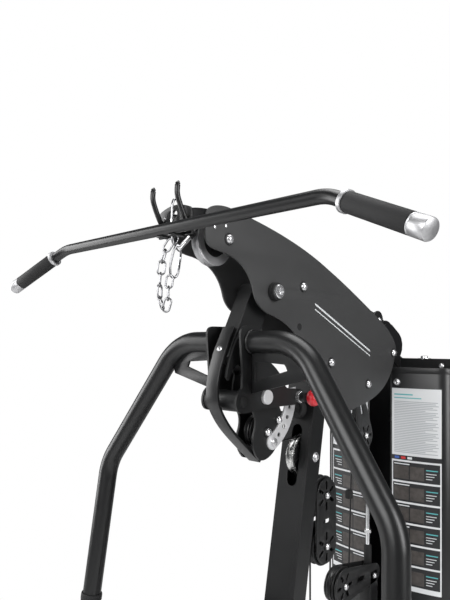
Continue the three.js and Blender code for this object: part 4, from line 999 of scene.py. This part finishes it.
def card_strip(piece, side, s0, s1, z0, z1, proud, mat):
    """A thin printed patch that follows the curve of the shroud. s0 and s1 are distances from its inner edge."""
    line = shroud_line(220)
    lengths = [0.0]
    for a, b in zip(line, line[1:]):
        lengths.append(lengths[-1] + (b - a).length)

    def spot(s):
        j = min(max(k for k, value in enumerate(lengths) if value <= s), len(line) - 2)
        p = line[j].lerp(line[j + 1], (s - lengths[j]) / (lengths[j + 1] - lengths[j]))
        t = (line[j + 1] - line[j]).normalized()
        return p, Vector((t.y, -t.x, 0))

    steps = max(2, int((s1 - s0) / 8))
    verts = []
    for depth in (proud, proud - 0.6):
        for z in (z0, z1):
            for i in range(steps + 1):
                p, out = spot(s0 + (s1 - s0) * i / steps)
                q = p + out * depth
                verts.append((side * q.x, q.y, z))
    n = steps + 1
    faces = []
    for i in range(steps):
        faces.append((i, i + 1, n + i + 1, n + i))
        faces.append((2 * n + i, 3 * n + i, 3 * n + i + 1, 2 * n + i + 1))
        faces.append((i, 2 * n + i, 2 * n + i + 1, i + 1))
        faces.append((n + i, n + i + 1, 3 * n + i + 1, 3 * n + i))
    faces.append((0, n, 3 * n, 2 * n))
    faces.append((steps, 2 * n + steps, 3 * n + steps, n + steps))
    piece.add((verts, faces), mat)


for side, node in ((1, "shroud_right"), (-1, "shroud_left")):
    line = shroud_line()
    outer = [(side * p.x, p.y) for p in line]
    inner = []
    for i, p in enumerate(line):
        t = (line[min(i + 1, len(line) - 1)] - line[max(i - 1, 0)]).normalized()
        inner.append((side * (p.x - t.y * 2.5), p.y + t.x * 2.5))
    skin = Piece(f"{node}_skin")
    skin.add(plate([outer + inner[::-1]], "XY", 130, 1624, 0.6), SHROUD)
    front = [i for i, p in enumerate(line) if p.y < 631]
    rear = [i for i, p in enumerate(line) if p.y > 680]
    for run in (front, rear):
        skin.add(plate([[outer[i] for i in run] + [inner[i] for i in reversed(run)]], "XY", 1622, 1640, 0.6),
            SHROUD)
        skin.add(tube([(outer[i][0], outer[i][1] + (1.2 if run is front else -1.2), 1639.5) for i in run], 1.6,
            10), SHROUD)
    skin.add(tube([(x * 0.994, y + (1.2 if y < 680 else -1.2), 130) for x, y in outer], 1.8, 10), SHROUD)
    skin.add(tube([(side * 39.5, 586.2, 130), (side * 39.5, 586.2, 1639)], 2.0, 10), SHROUD)
    for z in (1596, 160):
        bolt(skin, (side * 60, 583.6, z), (0, -1, 0), 8.5, 5, washer_mat=BOLT_CHROME)
    skin.make("frame", node, slot="plate_grey")
    card = Piece(f"placard_{'right' if side > 0 else 'left'}")
    card_strip(card, side, 4, 154, 957, 1577, 0.9, CARD)
    card_strip(card, side, 12, 70, 1556, 1560, 1.3, TEAL)
    card_strip(card, side, 12, 96, 1546, 1549, 1.3, TEAL)
    for row in range(31):
        width = (132, 126, 134, 118, 130, 96)[row % 6]
        card_strip(card, side, 12, 12 + width, 1535 - 5.2 * row, 1537.4 - 5.2 * row, 1.3, INK)
    card_strip(card, side, 4, 154, 1356, 1370, 1.3, TILE)
    for k, mat in enumerate((BLUE, LABEL_RED, PALE)):
        card_strip(card, side, 14 + 20 * k, 28 + 20 * k, 1359.5, 1366.5, 1.7, mat)
    for k in range(6):
        z1 = 1350 - 64 * k
        card_strip(card, side, 8, 150, z1 - 58, z1, 1.3, TILE)
        card_strip(card, side, 12, 58, z1 - 52, z1 - 12, 1.7, TILE_DIM)
        card_strip(card, side, 62, 104, z1 - 52, z1 - 12, 1.7, TILE_DIM)
        card_strip(card, side, 110, 144, z1 - 20, z1 - 17, 1.7, TEAL)
        for row in range(3):
            card_strip(card, side, 110, 140 - 6 * row, z1 - 30 - 8 * row, z1 - 28 - 8 * row, 1.7, PALE)
        card_strip(card, side, 12, 60, z1 - 8, z1 - 5, 1.7, PALE)
    card.make("frame", slot="plate_grey")


# ---------------------------------------------------------------- base
refine("base_rail", TUBE_BLACK, 2.5)
refine("front_stabiliser", TUBE_BLACK, 2.5)
refine("rear_stabiliser", TUBE_BLACK, 2.5)
base = Piece("base_fittings")
for y0, half in ((-760, 290), (700, 340)):
    low_y, high_y = (y0, y0 + 65) if y0 < 0 else (y0 - 5, y0 + 60)
    for side in (1, -1):
        a, b = sorted((side * (half - 18), side * (half + 5)))
        for i in range(5):
            z = 14 + 11 * i
            base.add(block(a - 0.3, b + 0.3, low_y + 6, high_y - 6, z, z + 4, 1.2), RUBBER)
for y in (-730, 730):
    for x in (-20, 20):
        base.add(lathe(AXLE_END, (x, y, 65), (0, 0, 1), 26), BOLT_CHROME)
for at_y in (-600, 157):
    for side in (1, -1):
        base.add(lathe(AXLE_END, (side * 20, at_y, 130), (side, 0, 0), 26), BOLT_CHROME)
for i in range(9):
    t = (i + 0.6) / 9.4
    y, z = -731 + 34 * t, 58 + 106 * t
    base.add(tube([(-138, y - 1.4, z), (138, y - 1.4, z)], 1.8, 10), RUBBER)
base.make("frame", slot="rubber")


# ---------------------------------------------------------------- seat frame, pads and leg developer
refine("seat_frame", TUBE_BLACK, 2.5)
refine("seat_post", CHROME, 1.5)
refine("leg_arm", TUBE_BLACK, 2.0)
seat_fit = Piece("seat_fittings")
seat_fit.add(lathe([(0, 0), (9, 0), (9, 14), (6, 15), (6, 24), (0, 24)], (33, -240, 360), (1, 0, 0), 24),
    BOLT_CHROME)
seat_fit.add(lathe([(0, 20), (10, 20), (16, 23), (17, 28), (16, 34), (11, 38), (0, 39)], (33, -240, 360),
    (1, 0, 0), 32), RED)
for side in (1, -1):
    seat_fit.add(lathe([(0, 0), (14, 0), (14, 1.6), (9.5, 2), (9, 6.5), (6, 8.5), (0, 8.8)],
        (side * 28, -425, 430), (side, 0, 0), 26), BOLT_CHROME)
seat_fit.make("frame", slot="red_plastic")


def simulate(verts, faces, cap, pressure=4.0, voxel=0.0065, frames=16):
    """Inflates a closed form a little as cloth, and returns it with no point moved by more than cap metres."""
    mesh = bpy.data.meshes.new("pad_sim")
    mesh.from_pydata([Vector(v) * MM for v in verts], [], faces)
    obj = bpy.data.objects.new("pad_sim", mesh)
    bpy.context.collection.objects.link(obj)
    bpy.context.view_layer.objects.active = obj
    remesh = obj.modifiers.new("remesh", "REMESH")
    remesh.mode = "VOXEL"
    remesh.voxel_size = voxel
    flat = bpy.data.meshes.new_from_object(obj.evaluated_get(bpy.context.evaluated_depsgraph_get()))
    obj.modifiers.clear()
    obj.data = flat
    start = [v.co.copy() for v in flat.vertices]
    cloth = obj.modifiers.new("cloth", "CLOTH")
    cloth.settings.use_pressure = True
    cloth.settings.uniform_pressure_force = pressure
    cloth.settings.quality = 5
    cloth.settings.tension_stiffness = 25
    cloth.settings.compression_stiffness = 25
    cloth.settings.bending_stiffness = 1.0
    cloth.settings.effector_weights.gravity = 0
    cloth.point_cache.frame_end = frames
    for step in range(1, frames + 1):
        bpy.context.scene.frame_set(step)
    moved = bpy.data.meshes.new_from_object(obj.evaluated_get(bpy.context.evaluated_depsgraph_get()))
    obj.modifiers.clear()
    for before, v in zip(start, moved.vertices):
        step = v.co - before
        if step.length > cap:
            v.co = before + step.normalized() * cap
    obj.data = moved
    bpy.context.scene.frame_set(1)
    return obj


def pad(name, node, make_shape, shape_back, body, cap, seams):
    """An upholstered pad: a rounded core, inflated as cloth, then its piping."""
    verts, faces = make_shape
    obj = simulate(verts, faces, cap)
    shape_back(obj.data)
    obj.name = name
    obj.data.materials.clear()
    obj.data.materials.append(VINYL)
    obj.data.polygons.foreach_set("use_smooth", [True] * len(obj.data.polygons))
    smooth = obj.modifiers.new("smooth", "SMOOTH")
    smooth.iterations = 3
    sub = obj.modifiers.new("sub", "SUBSURF")
    sub.levels = sub.render_levels = 1
    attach(obj, body)
    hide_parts(node)
    trim = Piece(f"{name}_piping")
    for path in seams:
        trim.add(tube(path, 2.4, 10, closed=True), VINYL)
    return obj, trim


def rounded_loop(cx, cy, half_x, half_y, r, count=96):
    """A rounded rectangle in a plane."""
    points = []
    for sx, sy, start in ((1, 1, 0), (-1, 1, 90), (-1, -1, 180), (1, -1, 270)):
        for i in range(count // 4):
            a = math.radians(start + 90 * i / (count // 4 - 1))
            points.append((cx + sx * (half_x - r) + r * math.cos(a), cy + sy * (half_y - r) + r * math.sin(a)))
    return points


seat_loop = rounded_loop(0, -235, 161, 171, 42)
seat_core = plate([rounded_loop(0, -235, 158, 168, 40)], "XY", 480, 532, 9)
seat_obj, seat_trim = pad("seat_cushion", "seat_pad", seat_core, lambda mesh: None, "seat", 0.008,
    [[(x, y, 497) for x, y in seat_loop]])
for v in seat_obj.data.vertices:
    v.co.z = max(v.co.z, 0.4775)
seat_trim.add(plate([rounded_loop(0, -235, 150, 160, 36)], "XY", 476.4, 481, 1.2), RUBBER)
seat_trim.make("seat", slot="vinyl")

LEAN = math.atan(0.186)


def back_place(x, along, depth):
    """A point on the back pad: across, up along the upright, and forward from the pad's rear face."""
    z = 640 + along * math.cos(LEAN) + depth * math.sin(LEAN)
    y = -115 + 0.186 * (640 - 70) - 25 + along * math.sin(LEAN) - depth * math.cos(LEAN)
    return Vector((x, y, z))


flat_core = plate([rounded_loop(0, 204, 128, 197, 38)], "XY", 3, 52, 9)
core = ([back_place(v.x, v.y, v.z) for v in flat_core[0]], flat_core[1])
_, back_trim = pad("back_cushion", "back_pad", core, lambda mesh: None, "frame", 0.007,
    [[back_place(x, s, 20) for x, s in rounded_loop(0, 204, 131, 200, 40)]])
backing = plate([rounded_loop(0, 204, 120, 190, 34)], "XY", 0.4, 4, 1.0)
back_trim.add(([back_place(v.x, v.y, v.z) for v in backing[0]], backing[1]), RUBBER)
back_trim.make("frame", slot="vinyl")

for level, (y, z) in (("upper", (-470, 470)), ("lower", (-505, 205))):
    for side, tag in ((1, "right"), (-1, "left")):
        name = f"roller_{level}_{tag}"
        roll = Piece(f"{name}_foam")
        section = [(10.8, 0), (34, 0), (41, 2.0), (44.2, 7), (44.8, 14)]
        for i in range(8):
            h = 20 + 14.6 * i
            section += [(44.8, h), (44.5, h + 1.0)] if i % 7 else [(44.8, h)]
        section += [(44.8, 136), (44.2, 143), (41, 148), (34, 150), (10.8, 150), (10.8, 0)]
        x = 45 if side > 0 else -195
        roll.add(lathe(section, (x, y, z), (1, 0, 0), 48), FOAM)
        obj = roll.make(name, name, slot="foam", sharp=60)
        ends_piece = Piece(f"{name}_cap")
        ends_piece.add(lathe([(10.4, 0), (22, 0), (24, 1.5), (24, 3), (10.4, 3.4), (10.4, 0)],
            (side * 196.2, y, z), (side, 0, 0), 32), NYLON)
        ends_piece.make(name, slot="nylon")


# ---------------------------------------------------------------- floor and light
floor_mesh = bpy.data.meshes.new("floor")
floor_mesh.from_pydata([(-14, -14, 0), (14, -14, 0), (14, 14, 0), (-14, 14, 0)], [], [(0, 1, 2, 3)])
floor = bpy.data.objects.new("floor", floor_mesh)
floor_paint = material("floor_paint", (0.86, 0.86, 0.86), 0.7, spread=0.02)
nodes, links = floor_paint.node_tree.nodes, floor_paint.node_tree.links
spread_out = nodes.new("ShaderNodeVectorMath")
spread_out.operation = "LENGTH"
fade = nodes.new("ShaderNodeMapRange")
fade.inputs["From Min"].default_value = 0.9
fade.inputs["From Max"].default_value = 1.7
glow = nodes.new("ShaderNodeEmission")
blend = nodes.new("ShaderNodeMixShader")
links.new(nodes["Texture Coordinate"].outputs["Object"], spread_out.inputs[0])
links.new(spread_out.outputs["Value"], fade.inputs["Value"])
only_seen = nodes.new("ShaderNodeLightPath")
far_and_seen = nodes.new("ShaderNodeMath")
far_and_seen.operation = "MULTIPLY"
links.new(fade.outputs["Result"], far_and_seen.inputs[0])
links.new(only_seen.outputs["Is Camera Ray"], far_and_seen.inputs[1])
links.new(far_and_seen.outputs["Value"], blend.inputs[0])
links.new(nodes["Principled BSDF"].outputs["BSDF"], blend.inputs[1])
links.new(glow.outputs["Emission"], blend.inputs[2])
links.new(blend.outputs["Shader"], nodes["Material Output"].inputs["Surface"])
floor.data.materials.append(floor_paint)
bpy.context.collection.objects.link(floor)
floor.location.z = -0.001


def area(name, place, target, size, power, shape="RECTANGLE"):
    light = bpy.data.lights.new(name, "AREA")
    light.shape = shape
    light.size, light.size_y = size
    light.energy = power
    lamp = bpy.data.objects.new(name, light)
    bpy.context.collection.objects.link(lamp)
    lamp.location = place
    lamp.rotation_euler = (Vector(target) - Vector(place)).to_track_quat("-Z", "Y").to_euler()


area("key", (0.2, -3.6, 2.9), (0, 0, 1.5), (3.0, 2.2), 120)
area("right", (3.2, 0.1, 2.5), (0, 0, 1.6), (1.2, 2.6), 85)
area("left", (-3.2, -1.6, 2.2), (0, 0, 1.4), (1.8, 3.0), 85)
area("top", (0, 0.4, 4.6), (0, 0.2, 1.2), (2.4, 2.4), 70)
world = bpy.data.worlds.new("studio")
world.use_nodes = True
nodes, links = world.node_tree.nodes, world.node_tree.links
seen = nodes["Background"]
seen.inputs["Color"].default_value = (1, 1, 1, 1)
seen.inputs["Strength"].default_value = 1.0
fill = nodes.new("ShaderNodeBackground")
fill.inputs["Color"].default_value = (0.95, 0.97, 1, 1)
fill.inputs["Strength"].default_value = 0.09
path_kind = nodes.new("ShaderNodeLightPath")
pick = nodes.new("ShaderNodeMixShader")
links.new(path_kind.outputs["Is Camera Ray"], pick.inputs[0])
links.new(fill.outputs["Background"], pick.inputs[1])
links.new(seen.outputs["Background"], pick.inputs[2])
links.new(pick.outputs["Shader"], nodes["World Output"].inputs["Surface"])
bpy.context.scene.world = world
bpy.context.scene.view_settings.view_transform = "Standard"
